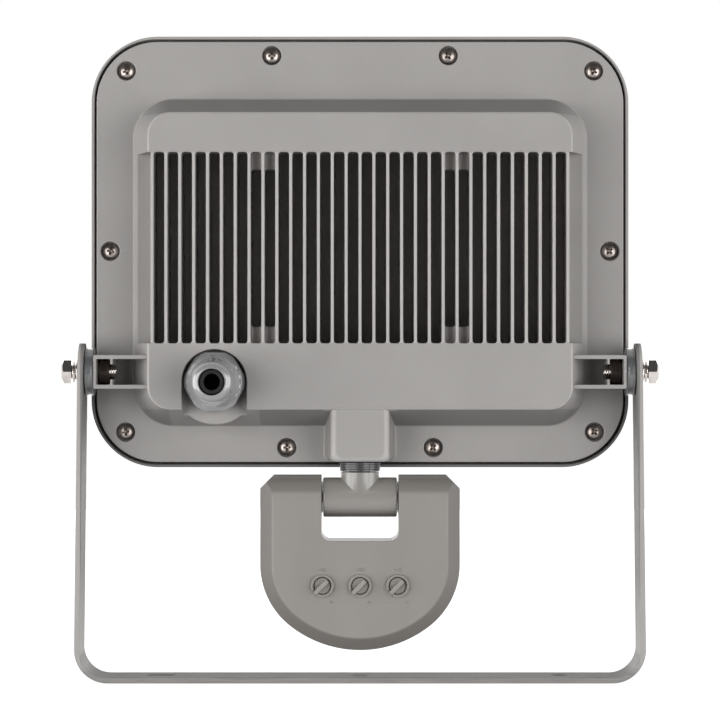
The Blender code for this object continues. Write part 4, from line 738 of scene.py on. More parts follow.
@dataclass(frozen=True)
class Rubber(Finish):
    """Black rubber with a dull bloom and fine pores."""

    pore: float = 0.0003
    pore_depth: float = 0.00004
    bloom: float = 0.006

    def mix(self, graph: Graph) -> None:
        """Lay the bloom and the pores over the rubber.

        Args:
            graph: the material's nodes.
        """
        bloom = graph.noise(self.bloom, 3.0)
        graph.set(Base_Color=graph.mottled(bloom, self.colour, 1.0, 1.7, 0.45, 0.75))
        graph.roughness(bloom, self.roughness - 0.08, self.roughness + 0.1)
        graph.relief((graph.noise(self.pore, 2.0), self.pore_depth))


@dataclass(frozen=True)
class Glass(Finish):
    """Clear hardened glass, faintly green, with a trace of dust."""

    dust: float = 0.012

    def mix(self, graph: Graph) -> None:
        """Let light through and spread a little dust over the glass.

        Args:
            graph: the material's nodes.
        """
        graph.set(Transmission_Weight=1.0, IOR=1.5)
        dust = graph.noise(self.dust, 4.0)
        graph.set(Base_Color=graph.mottled(dust, self.colour, 1.0, 0.9, 0.5, 0.9, 0.25))
        graph.roughness(dust, 0.0, self.roughness)


@dataclass(frozen=True)
class Hammered(Finish):
    """Pressed sheet with a hammered pattern that spreads light."""

    dimple: float = 0.0026
    dimple_depth: float = 0.00035
    cloud: float = 0.02

    def mix(self, graph: Graph) -> None:
        """Press the dimples into the sheet.

        Args:
            graph: the material's nodes.
        """
        clouds = graph.noise(self.cloud, 2.0)
        graph.set(Base_Color=graph.mottled(clouds, self.colour, 1.0, 0.95))
        graph.roughness(clouds, self.roughness - 0.05, self.roughness + 0.08)
        graph.relief((graph.cells(self.dimple), self.dimple_depth))


@dataclass(frozen=True)
class Board(Finish):
    """Circuit board: lacquer over straight copper fields, with a fine weave below."""

    track: Colour = (0.5, 0.5, 0.5)
    pitch: float = 0.006
    border: float = 0.0002
    border_height: float = 0.00006
    weave: float = 0.0006
    weave_height: float = 0.00002

    def mix(self, graph: Graph) -> None:
        """Lay the fields and the weave under the lacquer.

        Args:
            graph: the material's nodes.
        """
        upright = added(graph.tree, "Mapping", {"Vector": graph.place, "Rotation": (QUARTER, 0.0, 0.0)})
        fields = {"Vector": upright.outputs[0], "Scale": 1.0, "Brick Width": self.pitch,
                  "Row Height": self.pitch * 0.45, "Mortar Size": self.border, "Mortar Smooth": 0.1}
        tracks = added(graph.tree, "TexBrick", fields).outputs["Fac"]
        weave = graph.noise(self.weave, 1.0)
        graph.set(Base_Color=graph.blend(tracks, self.colour, self.track))
        graph.roughness(weave, self.roughness - 0.04, self.roughness + 0.08)
        graph.relief((tracks, self.border_height), (weave, self.weave_height))


@dataclass(frozen=True)
class Milky(Finish):
    """Milky plastic that lets some light through, as on a detector's lens."""

    scatter: float = 0.002
    haze: float = 0.004
    ripple: float = 0.0012
    ripple_height: float = 0.00005

    def mix(self, graph: Graph) -> None:
        """Let light wander in the plastic, with haze in it and a fine ripple on it.

        Args:
            graph: the material's nodes.
        """
        graph.set(Subsurface_Weight=0.35, Subsurface_Scale=self.scatter, Transmission_Weight=0.12)
        haze = graph.noise(self.haze, 3.0)
        graph.set(Base_Color=graph.mottled(haze, self.colour, 1.0, 0.94))
        graph.roughness(haze, self.roughness - 0.05, self.roughness + 0.08)
        graph.relief((graph.noise(self.ripple, 1.0), self.ripple_height))


# Rooms of painted highlight, painted light and painted shade on the castings: lowest corner, highest corner,
# and the factor on the paint's colour there.
# Painted highlight along the fins' crests.
FIN_CREST_HIGHLIGHT: Room = ((-0.0913, 0.0134, 0.1490), (0.0913, 0.0140, 0.2315), 1.30)
# Painted highlight along the plateau's round upper edge.
PLATEAU_RIM_HIGHLIGHT: Room = ((-0.1010, 0.0127, 0.1120), (0.1010, 0.0132, 0.2569), 1.50)
# Painted highlight along the sensor boss's soft rear edges.
BOSS_RIM_HIGHLIGHT: Room = ((-0.0156, 0.0107, 0.0970), (0.0156, 0.0123, 0.1200), 1.30)
# Painted shade on the sensor boss's sloped sides.
BOSS_SIDE_SHADE: tuple[Room, ...] = (((-0.0162, -0.0100, 0.0970), (-0.0131, 0.0106, 0.1275), 0.78),
                                ((0.0131, -0.0100, 0.0970), (0.0162, 0.0106, 0.1275), 0.78))
# Painted light deep in the slots: on their floors, the boss floors and the lower walls.
SLOT_FLOOR_LIGHT: Room = ((-0.0910, -0.0090, 0.1482), (0.0910, 0.0060, 0.2323), 1.60)
# Painted shade on the plateau's top slope.
TOP_SLOPE_SHADE: Room = ((-0.1003, -0.0105, 0.2492), (0.1003, 0.0122, 0.2569), 0.82)
# Painted shade on the plateau's bottom slope, on either side of the sensor boss and the gland alcove.
BOTTOM_SLOPE_SHADE: tuple[Room, ...] = (((-0.1003, -0.0105, 0.1120), (-0.0165, 0.0122, 0.1196), 0.76),
                                   ((0.0165, -0.0105, 0.1120), (0.0440, 0.0122, 0.1196), 0.76),
                                   ((0.0835, -0.0105, 0.1120), (0.1003, 0.0122, 0.1196), 0.76))
# Painted shade on the front frame's lower rear rim, along the seam with the housing.
FRAME_FOOT_SHADE: Room = ((-0.1200, -0.0135, 0.0900), (0.1200, -0.0110, 0.1270), 0.42)
HOUSING_PAINT = CastCoat("housing_paint", (0.338, 0.325, 0.316), 0.52, gloss=0.30,
                         rooms=(FIN_CREST_HIGHLIGHT, PLATEAU_RIM_HIGHLIGHT, BOSS_RIM_HIGHLIGHT, *BOSS_SIDE_SHADE, SLOT_FLOOR_LIGHT, TOP_SLOPE_SHADE,
                                *BOTTOM_SLOPE_SHADE))
FRAME_PAINT = CastCoat("housing_paint", (0.337, 0.325, 0.316), 0.52, gloss=0.30, rooms=(FRAME_FOOT_SHADE,))
STRAP_PAINT = StrapCoat("bracket_paint", (0.385, 0.372, 0.360), 0.66, gloss=0.12, grain=0.0006)
SENSOR_PLASTIC = Moulded("sensor_plastic", (0.275, 0.258, 0.240), 0.46, gloss=0.35)
# The rear shell's band is painted shade over its rear bevel.
SHELL_PLASTIC = Moulded("sensor_plastic", (0.270, 0.254, 0.236), 0.46, gloss=0.35, band=("Y", 0.0052, 0.0094))
# The tee's band is painted shade under its barrel.
TEE_PLASTIC = Moulded("sensor_plastic", (0.245, 0.232, 0.216), 0.33, gloss=1.0, depth=0.000005, lacquer=0.15,
                      band=("Z", 0.0700, 0.0738))
KNOB_PLASTIC = Moulded("knob_plastic", (0.300, 0.284, 0.264), 0.46, gloss=0.4)
SPACER_PLASTIC = Moulded("spacer_plastic", (0.130, 0.131, 0.134), 0.26, gloss=1.0, depth=0.00001, lacquer=0.6)
COLLAR_PLASTIC = Moulded("collar_plastic", (0.035, 0.035, 0.037), 0.30, gloss=0.8, depth=0.00001)
GLAND_PLASTIC = Moulded("gland_plastic", (0.255, 0.255, 0.260), 0.18, gloss=1.0, depth=0.000005, lacquer=1.0)
DARK_PLASTIC = Moulded("dark_plastic", (0.030, 0.031, 0.034), 0.45)
TERMINAL_PLASTIC = Moulded("terminal_plastic", (0.55, 0.55, 0.52), 0.45)
BLACK_RUBBER = Rubber("black_rubber", (0.022, 0.021, 0.023), 0.62)
SEAL_RUBBER = Rubber("black_rubber", (0.020, 0.020, 0.021), 0.66, gloss=0.2)
STAINLESS = Steel("stainless_steel", (0.74, 0.69, 0.66), 0.15, drawn=(0.15, 1.0, 1.0))
# Darker, browner copy of the stainless finish for the nuts: painted shade and painted reflection of their
# place deep in the lug boxes.
SHADED_NUT_STEEL = Steel("stainless_steel", (0.24, 0.20, 0.18), 0.30, drawn=(0.15, 1.0, 1.0))
SCREW_STEEL = Steel("screw_steel", (0.36, 0.315, 0.290), 0.26)
CAN_STEEL = Steel("can_steel", (0.62, 0.60, 0.57), 0.25, drawn=(1.0, 0.1, 1.0))
CLEAR_GLASS = Glass("window_glass", (0.94, 0.97, 0.96), 0.03)
REFLECTOR_WHITE = Hammered("reflector_white", (0.82, 0.82, 0.80), 0.35)
BOARD_WHITE = Board("board_white", (0.80, 0.80, 0.77), 0.40, track=(0.72, 0.72, 0.68), pitch=0.020)
PHOSPHOR = Milky("board_white", (0.78, 0.60, 0.12), 0.35)
BOARD_GREEN = Board("board_green", (0.012, 0.085, 0.035), 0.35, track=(0.04, 0.20, 0.08), pitch=0.004)
MILKY_LENS = Milky("lens_plastic", (0.80, 0.80, 0.78), 0.38)


@dataclass(frozen=True)
class Layout:
    """Levels and places that the pieces share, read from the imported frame."""

    half_width: float
    bottom: float
    top: float
    front: float
    flange: float
    pivot_z: float
    hinge_z: float
    gland: Point

    @classmethod
    def read(cls) -> "Layout":
        """Read the levels from the frame's boxes.

        Returns:
            The layout.
        """
        low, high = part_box("front_frame")
        gland = middle("gland_o_ring")
        return cls(high.x, low.z, high.z, low.y, high.y, middle("pivot_spacer_left").z,
                   middle("hinge_washer_left").z, (gland.x, gland.z))

    def inset(self, depth: float, radius: float, steps: int = 16) -> Outline:
        """List the front frame's outline moved inward, with a corner radius of its own."""
        half_height = (self.top - self.bottom) / 2
        return self.centred(self.half_width - depth, half_height - depth, radius, steps)

    def centred(self, half_width: float, half_height: float, radius: float, steps: int = 16) -> Outline:
        """List a rounded rectangle about the lamp's middle."""
        centre = (self.bottom + self.top) / 2
        return rounded(-half_width, half_width, centre - half_height, centre + half_height, radius, steps)


def screw_places() -> list[Point]:
    """Return the places of the ten housing screws."""
    places = [middle(f"housing_screw_{number:02d}") for number in range(1, 11)]
    return [(place.x, place.z) for place in places]


@dataclass
class RearHousing:
    """Die-cast rear housing: flange, finned plateau, lug boxes, gland alcove and sensor boss."""

    layout: Layout
    flange_thickness: float = 0.0060
    flange_inset: float = 0.0022
    corner: float = 0.0295
    plateau_height: float = 0.025
    side_margin: float = 0.0189
    bottom_margin: float = 0.0184
    top_margin: float = 0.0279
    plateau_corner: float = 0.0175
    slope_run: float = 0.0078
    top_round: float = 0.0011
    root_round: float = 0.0010
    slot_pitch: float = 0.00605
    slot_width: float = 0.00475
    slot_count: int = 30
    slot_corner: float = 0.0013
    slot_depth: float = 0.0220
    slot_low_margin: float = 0.0365
    slot_high_margin: float = 0.0249
    fin_round: float = 0.00040
    short_slots: tuple[int, ...] = (7, 8, 21, 22)
    boss_length: float = 0.0072
    boss_depth: float = 0.0080
    end_fin: float = 0.0012
    shoulder_depth: float = 0.0182
    shoulder_fillet: float = 0.0016
    alcove_radius: float = 0.01415
    pad_height: float = 0.0160
    pad_border: float = 0.00485
    lug_end_inset: float = 0.0027
    lug_wall: float = 0.0018
    lug_end_wall: float = 0.0012
    lug_inner: float = 0.0112
    divider_from_end: float = 0.0084
    divider_wall: float = 0.0010
    bolt_slot: float = 0.0066
    boss_base: float = 0.0156
    boss_top: float = 0.0124
    boss_rise: float = 0.0030
    boss_step: float = 0.0010
    boss_corner: float = 0.0030
    boss_round: float = 0.0028
    counterbore: float = 0.0085
    counterbore_depth: float = 0.0040
    screw_hole: float = 0.0046
    plate_edge: float = 0.0006
    pocket_depth: float = 0.0050
    pocket_inset: float = 0.0212
    pocket_corner: float = 0.0140
    room_inset: float = 0.0143
    rear_wall: float = 0.0035
    gland_wall: float = 0.00395
    gland_room_drop: float = 0.0115
    base_wall: float = 0.0095
    slot_wall: float = 0.0040
    top_wall: float = 0.0114
    nut_gap: float = 0.0006
    neck_hole: float = 0.0106
    gland_hole: float = 0.0206

    @property
    def rear(self) -> float:
        """Level of the plateau's face."""
        return self.layout.flange + self.plateau_height

    @property
    def half(self) -> float:
        """Half width of the plateau at the flange."""
        return self.layout.half_width - self.side_margin

    @property
    def slot_span(self) -> Point:
        """Lowest and highest Z of the slots."""
        return (self.layout.bottom + self.bottom_margin + self.slot_low_margin,
                self.layout.top - self.top_margin - self.slot_high_margin)

    def plateau(self) -> Solid:
        """Loft the plateau with its sloped walls, round upper edge and root fillet.

        Returns:
            The plateau.
        """
        flange, run = self.layout.flange, self.slope_run
        section = soften([(-0.004, flange), (0.0, flange), (run, self.rear), (run + 0.006, self.rear)],
                         [0, self.root_round, self.top_round, 0], 6)
        section = [(0.0, flange - SINK)] + section[1:]
        low, high = self.layout.bottom + self.bottom_margin, self.layout.top - self.top_margin
        rings = [level(rounded(inset - self.half, self.half - inset, low + inset, high - inset,
                               max(self.plateau_corner - inset, 0.002), 14), y) for inset, y in section]
        return Solid.loft("plateau", rings)

    def slot(self, index: int, shorter: float, depth: float) -> Solid:
        """Make the solid that clears one cooling slot, with flared mouth and round floor.

        Args:
            index: number of the slot from the +X side.
            shorter: how much is left at both ends.
            depth: depth below the plateau's face.

        Returns:
            The cutter.
        """
        x = ((self.slot_count - 1) / 2 - index) * self.slot_pitch
        low, high = self.slot_span
        edge, floor = self.fin_round, self.rear - depth
        section = [(0.0008, floor), (0.0002, floor + 0.0002), (0.0, floor + 0.0008)]
        section += arc((-edge, self.rear - edge), edge, 0.0, QUARTER * 0.97, 4)
        section.append((-edge, self.rear + PAST))
        half = self.slot_width / 2
        rings = [level(rounded(x - half + inset, x + half - inset, low + shorter + inset,
                               high - shorter - inset, self.slot_corner - inset, 5), y)
                 for inset, y in section]
        return Solid.loft("slot", rings)

    def slots(self) -> tuple[Solid, Solid]:
        """Make the cutters of all slots.

        Returns:
            The deep ones, and the shallow ends over the screw bosses.
        """
        deep = [self.slot(i, self.boss_length if i in self.short_slots else 0.0, self.slot_depth)
                for i in range(self.slot_count)]
        shallow = [self.slot(i, 0.0, self.boss_depth) for i in self.short_slots]
        return deep[0].gather(*deep[1:]), shallow[0].gather(*shallow[1:])

    def shoulder(self, side: int) -> Solid:
        """Make the solid that clears the plateau beside the outermost fin.

        Args:
            side: 1 for the +X side, -1 for the other.

        Returns:
            The cutter.
        """
        fin = ((self.slot_count - 1) * self.slot_pitch + self.slot_width) / 2 + self.end_fin
        floor, far = self.rear - self.shoulder_depth, self.half + PAST
        low, high = self.slot_span
        section = [(fin - self.fin_round, self.rear + PAST)]
        section += arc((fin - self.fin_round, self.rear - self.fin_round), self.fin_round,
                       QUARTER * 0.97, 0.0, 4)
        section += arc((fin + self.shoulder_fillet, floor + self.shoulder_fillet), self.shoulder_fillet,
                       math.pi, 3 * QUARTER, 8)
        section += [(far, floor), (far, self.rear + PAST)]
        outline = [(side * x, y) for x, y in section]
        return Solid.flat("shoulder", [outline], low, high, way=Way.XY)

    def alcove(self) -> Solid:
        """Make the arched solid that clears the room round the cable gland.

        Returns:
            The cutter.
        """
        x, z = self.layout.gland
        low = self.layout.bottom + self.bottom_margin - PAST
        floor, edge = self.layout.flange + self.pad_height, 0.0004
        section = [(0.0, floor)] + arc((-edge, self.rear - edge), edge, 0.0, QUARTER * 0.97, 4)
        section.append((-edge, self.rear + PAST))
        rings = []
        for inset, y in section:
            radius = self.alcove_radius - inset
            outline = arc((x, z), radius, 0.0, math.pi, 32) + [(x - radius, low), (x + radius, low)]
            rings.append(level(outline, y))
        return Solid.loft("alcove", rings)

    def boss(self) -> Solid:
        """Loft the boss that carries the sensor, with its wide soft edges.

        Returns:
            The boss.
        """
        flange, rear = self.layout.flange, self.rear - self.boss_step
        run = self.boss_base - self.boss_top
        section = soften([(-0.003, flange), (0.0, flange), (run, rear), (run + 0.006, rear)],
                         [0, self.root_round, self.boss_round, 0], 8)
        low = self.layout.bottom + self.boss_rise
        high = self.layout.bottom + self.bottom_margin + 2 * self.slope_run
        rings = []
        for inset, y in [(0.0, flange - SINK)] + section[1:-1]:
            extra = max(0.0, inset - run * (y - flange) / (rear - flange))
            rings.append(level(rounded(inset - self.boss_base, self.boss_base - inset, low + extra, high,
                                       self.boss_corner, 8), y))
        return Solid.loft("sensor_boss", rings)

    def lug(self, side: int) -> Solid:
        """Make one open lug box with its divider and bolt holes.

        Args:
            side: 1 for the +X side, -1 for the other.

        Returns:
            The lug box.
        """
        end = self.layout.half_width - self.lug_end_inset
        z, inner = self.layout.pivot_z, self.lug_inner / 2
        rear = middle("pivot_spacer_left").y - self.layout.flange
        root = self.half - self.slope_run - self.lug_wall
        divider = end - self.divider_from_end
        outside = rounded(root, end, z - inner - self.lug_wall, z + inner + self.lug_wall, 0.0006, 4)
        nut_room = rounded(divider + self.divider_wall, end - self.lug_end_wall, z - inner, z + inner,
                           0.0005, 4)
        inner_room = rounded(root + 0.002, divider, z - inner, z + inner, 0.0005, 4)
        outlines = [[(side * x, up) for x, up in outline] for outline in (outside, nut_room, inner_room)]
        lug = Solid.flat("lug", outlines, self.layout.flange - SINK, rear, 0.00028)
        half = self.bolt_slot / 2
        slot = arc((0.0, z), half, QUARTER, 3 * QUARTER, 16)
        slot += [(rear + PAST, z - half), (rear + PAST, z + half)]
        low, high = sorted((side * (divider - 0.0005), side * (divider + self.divider_wall + 0.0005)))
        lug.cut(Solid.flat("divider_slot", [slot], low, high, way=Way.YZ))
        low, high = sorted((side * (end - self.lug_end_wall - 0.0005), side * (end + 0.0005)))
        return lug.cut(Solid.rod("lug_hole", along_x(0, 0, z), half, low, high))

    def bores(self) -> Solid:
        """Make the counterbores with their soft rims and the screw holes below them.

        Returns:
            The cutter.
        """
        flange, edge = self.layout.flange, 0.0004
        wide, narrow = self.counterbore / 2, self.screw_hole / 2
        seat, far = flange - self.counterbore_depth, flange - self.flange_thickness - PAST
        profile = [(0.0, far), (narrow, far), (narrow, seat), (wide, seat)]
        profile += arc((wide + edge, flange - edge), edge, math.pi, QUARTER * 1.03, 5)
        profile += [(wide + edge, flange + PAST), (0.0, flange + PAST)]
        cutters = [Solid.turned("bore", profile, along_y(x, 0, z), 40) for x, z in screw_places()]
        return cutters[0].gather(*cutters[1:])

    def build(self) -> None:
        """Cast the housing."""
        flange, inset = self.layout.flange, self.flange_inset
        front = flange - self.flange_thickness
        plate = self.layout.inset(inset, self.corner - inset, 24)
        housing = Solid.flat("housing", [plate], front, flange, self.plate_edge)
        x, z = self.layout.gland
        pad = Solid.rod("gland_pad", along_y(x, 0, z), self.alcove_radius + self.pad_border, flange - SINK,
                        flange + self.pad_height, 96, self.plate_edge)
        housing.join(self.plateau(), pad, self.boss())
        housing.cut(self.alcove())
        housing.join(self.lug(1), self.lug(-1))
        housing.cut(*self.slots(), self.shoulder(1), self.shoulder(-1), self.bores())
        self.hollow(housing)
        housing.dress("rear_housing_casting", HOUSING_PAINT, "rear_housing", smooth=32.0)

    def hollow(self, housing: Solid) -> None:
        """Clear the pocket, the wiring rooms and the holes for the gland and the sensor's neck.

        Args:
            housing: the casting that is hollowed.
        """
        front = self.layout.flange - self.flange_thickness
        floor = front + self.pocket_depth
        pocket = self.layout.inset(self.pocket_inset, self.pocket_corner)
        housing.cut(Solid.flat("pocket", [pocket], front - PAST, floor))
        x, z = self.layout.gland
        low, high = self.slot_span
        side, split = self.half - self.room_inset, x - self.alcove_radius - self.gland_wall
        mouth, rear = floor - 0.0005, self.rear - self.rear_wall
        base, top = self.layout.bottom + self.bottom_margin, self.layout.top - self.top_margin
        pad = self.layout.flange + self.pad_height
        neck = middle("tee_nut")
        neck_low, neck_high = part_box("tee_nut")
        low_room, high_room = low - self.slot_wall, high + self.slot_wall
        near, far = neck_low.x - self.nut_gap, neck_high.x + self.nut_gap
        housing.cut(
            Solid.box("room", Vector((-side, mouth, base + self.base_wall)), Vector((split, rear, low_room))),
            Solid.box("gland_room", Vector((split - 0.0005, mouth, z - self.gland_room_drop)),
                      Vector((side, pad - self.rear_wall, low_room))),
            Solid.box("upper_room", Vector((-side, mouth, high_room)),
                      Vector((side, rear, top - self.top_wall))),
            Solid.box("neck_room", Vector((near, near, neck_low.z - GAP)), Vector((far, far, base + 0.010))),
            Solid.rod("neck_hole", along_z(neck.x, neck.y, 0), self.neck_hole / 2, self.layout.bottom,
                      neck_low.z),
            Solid.rod("gland_hole", along_y(x, 0, z), self.gland_hole / 2, pad - 0.004, pad + PAST, 64))


@dataclass
class FrontFrame:
    """Cast front frame with its window lip, glass pocket and screw bosses."""

    layout: Layout
    corner: float = 0.0295
    draft: float = 0.0006
    edge: float = 0.0026
    rim: float = 0.0012
    lip: float = 0.0035
    border: float = 0.0167
    window_corner: float = 0.0165
    pocket_step: float = 0.0045
    rib: float = 0.0020
    post: Point = (0.0072, 0.0046)

    def build(self) -> None:
        """Loft the frame's closed section round the window."""
        front, rear = self.layout.front, self.layout.flange
        lip_back = front + self.lip
        rib_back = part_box("housing_gasket")[0].y - GAP
        pocket = self.border - self.pocket_step
        section = [(0.0, rear), (self.draft, front), (self.border - 0.0013, front),
                   (self.border, lip_back), (pocket, lip_back), (pocket, rib_back),
                   (pocket - self.rib, rib_back), (pocket - self.rib, lip_back),
                   (self.draft + 0.0022, lip_back), (self.rim, rear)]
        radii = [0.0003, self.edge, 0.0012, 0.0004, 0, 0.0004, 0.0004, 0.0006, 0.0008, 0.0003]
        rings = [level(self.layout.inset(inset, self.corner_at(inset), 24), y)
                 for inset, y in soften(section, radii, 6, closed=True)]
        shell = Solid.loft("frame", rings, closed=True)
        wide, narrow, foot = self.post[0] / 2, self.post[1] / 2, lip_back - 0.0005
        wall = [(wide, foot), (wide, rib_back), (narrow, rib_back), (narrow, foot)]
        posts = [Solid.turned("post", wall, along_y(x, 0, z), 32, ring=True) for x, z in screw_places()]
        shell.gather(*posts).dress("front_frame_casting", FRAME_PAINT, "front_frame")

    def corner_at(self, inset: float) -> float:
        """Return the corner radius at an inset, blended from the outside to the window's own."""
        share = min(1.0, inset / self.border)
        return (self.corner - inset) * (1 - share) + self.window_corner * share


@dataclass
class Window:
    """Glass, its gasket and the gasket between frame and housing."""

    layout: Layout
    glass_edge: float = 0.0005
    strip: float = 0.0034
    ring_wall: float = 0.0020
    ring_corner: float = 0.0230

    def ring_of(self, node: str, wall: float, corner: float) -> list[Outline]:
        """List the two outlines of a flat ring that fills a node's box.

        Args:
            node: the frame's node.
            wall: width of the ring.
            corner: outer corner radius.

        Returns:
            The outside and the hole.
        """
        low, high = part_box(node)
        half = ((high.x - low.x) / 2, (high.z - low.z) / 2)
        return [self.layout.centred(half[0] - inset, half[1] - inset, corner - inset)
                for inset in (0.0, wall)]

    def build(self) -> None:
        """Cut the glass and the two gaskets."""
        low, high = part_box("glass_panel")
        outline = self.ring_of("glass_panel", 0.0, GLASS_CORNER)[:1]
        Solid.flat("glass", outline, low.y, high.y, self.glass_edge).dress(
            "glass_pane", CLEAR_GLASS, "glass_panel")
        low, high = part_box("glass_gasket")
        outlines = self.ring_of("glass_gasket", self.strip, GLASS_CORNER)
        Solid.flat("seal", outlines, low.y, high.y, 0.0003).dress(
            "glass_gasket_strip", BLACK_RUBBER, "glass_gasket")
        low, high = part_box("housing_gasket")
        outlines = self.ring_of("housing_gasket", self.ring_wall, self.ring_corner)
        Solid.flat("ring", outlines, low.y, high.y, 0.0004).dress(
            "housing_gasket_strip", BLACK_RUBBER, "housing_gasket")


@dataclass
class LightEngine:
    """Reflector tray, and the LED board with its packages and solder pads."""

    layout: Layout
    pitch: Point = (0.0200, 0.0180)
    columns: int = 8
    rows: int = 6
    package: Point = (0.0035, 0.0028)
    package_height: float = 0.0007
    pad: Point = (0.0010, 0.0020)
    board_thickness: float = 0.0016
    board_corner: float = 0.0060
    screw_hole: float = 0.0036
    wire_hole: float = 0.0060
    wire_inset: float = 0.0058
    sheet: float = 0.0010
    overlap: float = 0.0060
    foot_corner: float = 0.0080
    rim: float = 0.0022

    def build(self) -> None:
        """Make the tray and the board."""
        self.tray()
        self.board()

    def tray(self) -> None:
        """Press the reflector tray between the board and the glass."""
        low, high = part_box("reflector")
        board_low, board_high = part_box("led_board")
        wide, tall, sheet = high.x, (high.z - low.z) / 2, self.sheet
        foot = (board_high.x - self.overlap, (board_high.z - board_low.z) / 2 - self.overlap)
        inner = self.rim - sheet
        stations = [(foot, self.foot_corner, high.y),
                    ((wide - self.rim, tall - self.rim), GLASS_CORNER - self.rim, low.y),
                    ((wide, tall), GLASS_CORNER, low.y),
                    ((wide, tall), GLASS_CORNER, low.y + sheet),
                    ((wide - inner, tall - inner), GLASS_CORNER - inner, low.y + sheet),
                    ((foot[0] + sheet, foot[1] + sheet), self.foot_corner + sheet, high.y)]
        rings = [level(self.layout.centred(*half, radius, 12), y) for half, radius, y in stations]
        Solid.loft("tray", rings, closed=True).dress(
            "reflector_tray", REFLECTOR_WHITE, "reflector", smooth=25.0)

    def board(self) -> None:
        """Make the board with its holes, then its packages, their windows and the solder pads."""
        low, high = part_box("led_board")
        front = high.y - self.board_thickness
        half = (high.x, (high.z - low.z) / 2)
        screws = [middle(f"led_board_screw_{number}") for number in range(1, 5)]
        holes = [circle((screw.x, screw.z), self.screw_hole / 2, 24) for screw in screws]
        holes.append(circle((0.0, low.z + self.wire_inset), self.wire_hole / 2, 32))
        plate = [self.layout.centred(*half, self.board_corner), *holes]
        Solid.flat("board", plate, front, high.y, 0.0002).dress(
            "led_board_plate", BOARD_WHITE, "led_board")
        packages, windows, pads = [], [], []
        wide, tall = self.package[0] / 2, self.package[1] / 2
        reach, crown = wide * 1.25, front - self.package_height
        pad_wide, pad_tall = self.pad[0] / 2, self.pad[1] / 2
        for x, z in self.places((low.z + high.z) / 2):
            packages.append(Solid.box("package", Vector((x - wide, crown, z - tall)),
                                      Vector((x + wide, front - 0.00005, z + tall)), 0.0002))
            windows.append(Solid.rod("window", along_y(x, 0, z), tall * 0.8, crown - 0.0001,
                                     front - 0.0003, 20, 0.0001))
            for pad_x in (x + reach, x - reach):
                pads.append(Solid.box("pad", Vector((pad_x - pad_wide, front - 0.0002, z - pad_tall)),
                                      Vector((pad_x + pad_wide, front + 0.0001, z + pad_tall)), 0.00008))
        packages[0].gather(*packages[1:]).dress("led_packages", BOARD_WHITE)
        windows[0].gather(*windows[1:]).dress("led_windows", PHOSPHOR)
        pads[0].gather(*pads[1:]).dress("led_solder_pads", CAN_STEEL)

    def places(self, centre_z: float) -> Outline:
        """List the places of the packages.

        Args:
            centre_z: level of the board's middle.

        Returns:
            The places in X and Z, column by column.
        """
        return [((column - (self.columns - 1) / 2) * self.pitch[0],
                 centre_z + (row - (self.rows - 1) / 2) * self.pitch[1])
                for column in range(self.columns) for row in range(self.rows)]


def thread(pitch: float, depth: float) -> Callable[[float, float], float]:
    """Return the shape of a thread: what it adds to the radius at an angle and a height."""
    return lambda angle, height: depth * (abs(((height / pitch - angle / (2 * math.pi)) % 1.0) * 2 - 1) - 1)


def threaded(place: Matrix, radius: float, low: float, high: float, pitch: float, sides: int = 24) -> Solid:
    """Make a threaded rod.

    Args:
        place: placing matrix, whose local Z is the axis.
        radius: outer radius.
        low: first level.
        high: last level.
        pitch: pitch of the thread.
        sides: parts of a turn.

    Returns:
        The rod.
    """
    steps = max(2, round((high - low) / pitch * 6))
    profile = [(radius, low + (high - low) * i / steps) for i in range(steps + 1)]
    return Solid.turned("thread", profile, place, sides, shape=thread(pitch, pitch * 0.5))


@dataclass
class CrossScrew:
    """Pan-head screw with a cross recess and a cut thread."""

    head: float
    head_height: float
    shank: float
    length: float
    recess: float
    dome: float = 1.75

    def solid(self, place: Matrix) -> Solid:
        """Turn the head, press the recess and cut the thread.

        Args:
            place: placing matrix whose origin is the head's seat, head up local Z.

        Returns:
            The screw.
        """
        half, tall = self.head / 2, self.head_height
        dome = self.dome * half
        top = arc((0.0, tall - dome), dome, QUARTER, math.acos(1 / self.dome), 14)
        profile = soften([(0.0, tall)] + top[1:] + [(half, 0.0), (0.0, 0.0)],
                         [0] * len(top) + [half * 0.05, 0], 3)
        head = Solid.turned("head", profile, place, 48)
        rings = []
        for reach, width, height in ((self.recess * 1.1, 0.28, tall + 0.001), (self.recess * 1.1, 0.28, tall),
                                     (self.recess * 0.62, 0.32, tall - self.recess * 0.62),
                                     (self.recess * 0.1, 0.05, tall - self.recess * 0.95)):
            arm = max(reach * width, self.recess * 0.06)
            quarter = [(reach, arm), (arm, arm), (arm, reach)]
            outline: Outline = []
            for turn in range(4):
                angle = turn * QUARTER
                cosine, sine = math.cos(angle), math.sin(angle)
                outline += [(x * cosine - y * sine, x * sine + y * cosine) for x, y in quarter]
            rings.append([place @ Vector((x, y, height)) for x, y in outline])
        head.cut(Solid.loft("recess", rings))
        return head.gather(threaded(place, self.shank / 2, -self.length, 0.0002, 0.0012, 20))


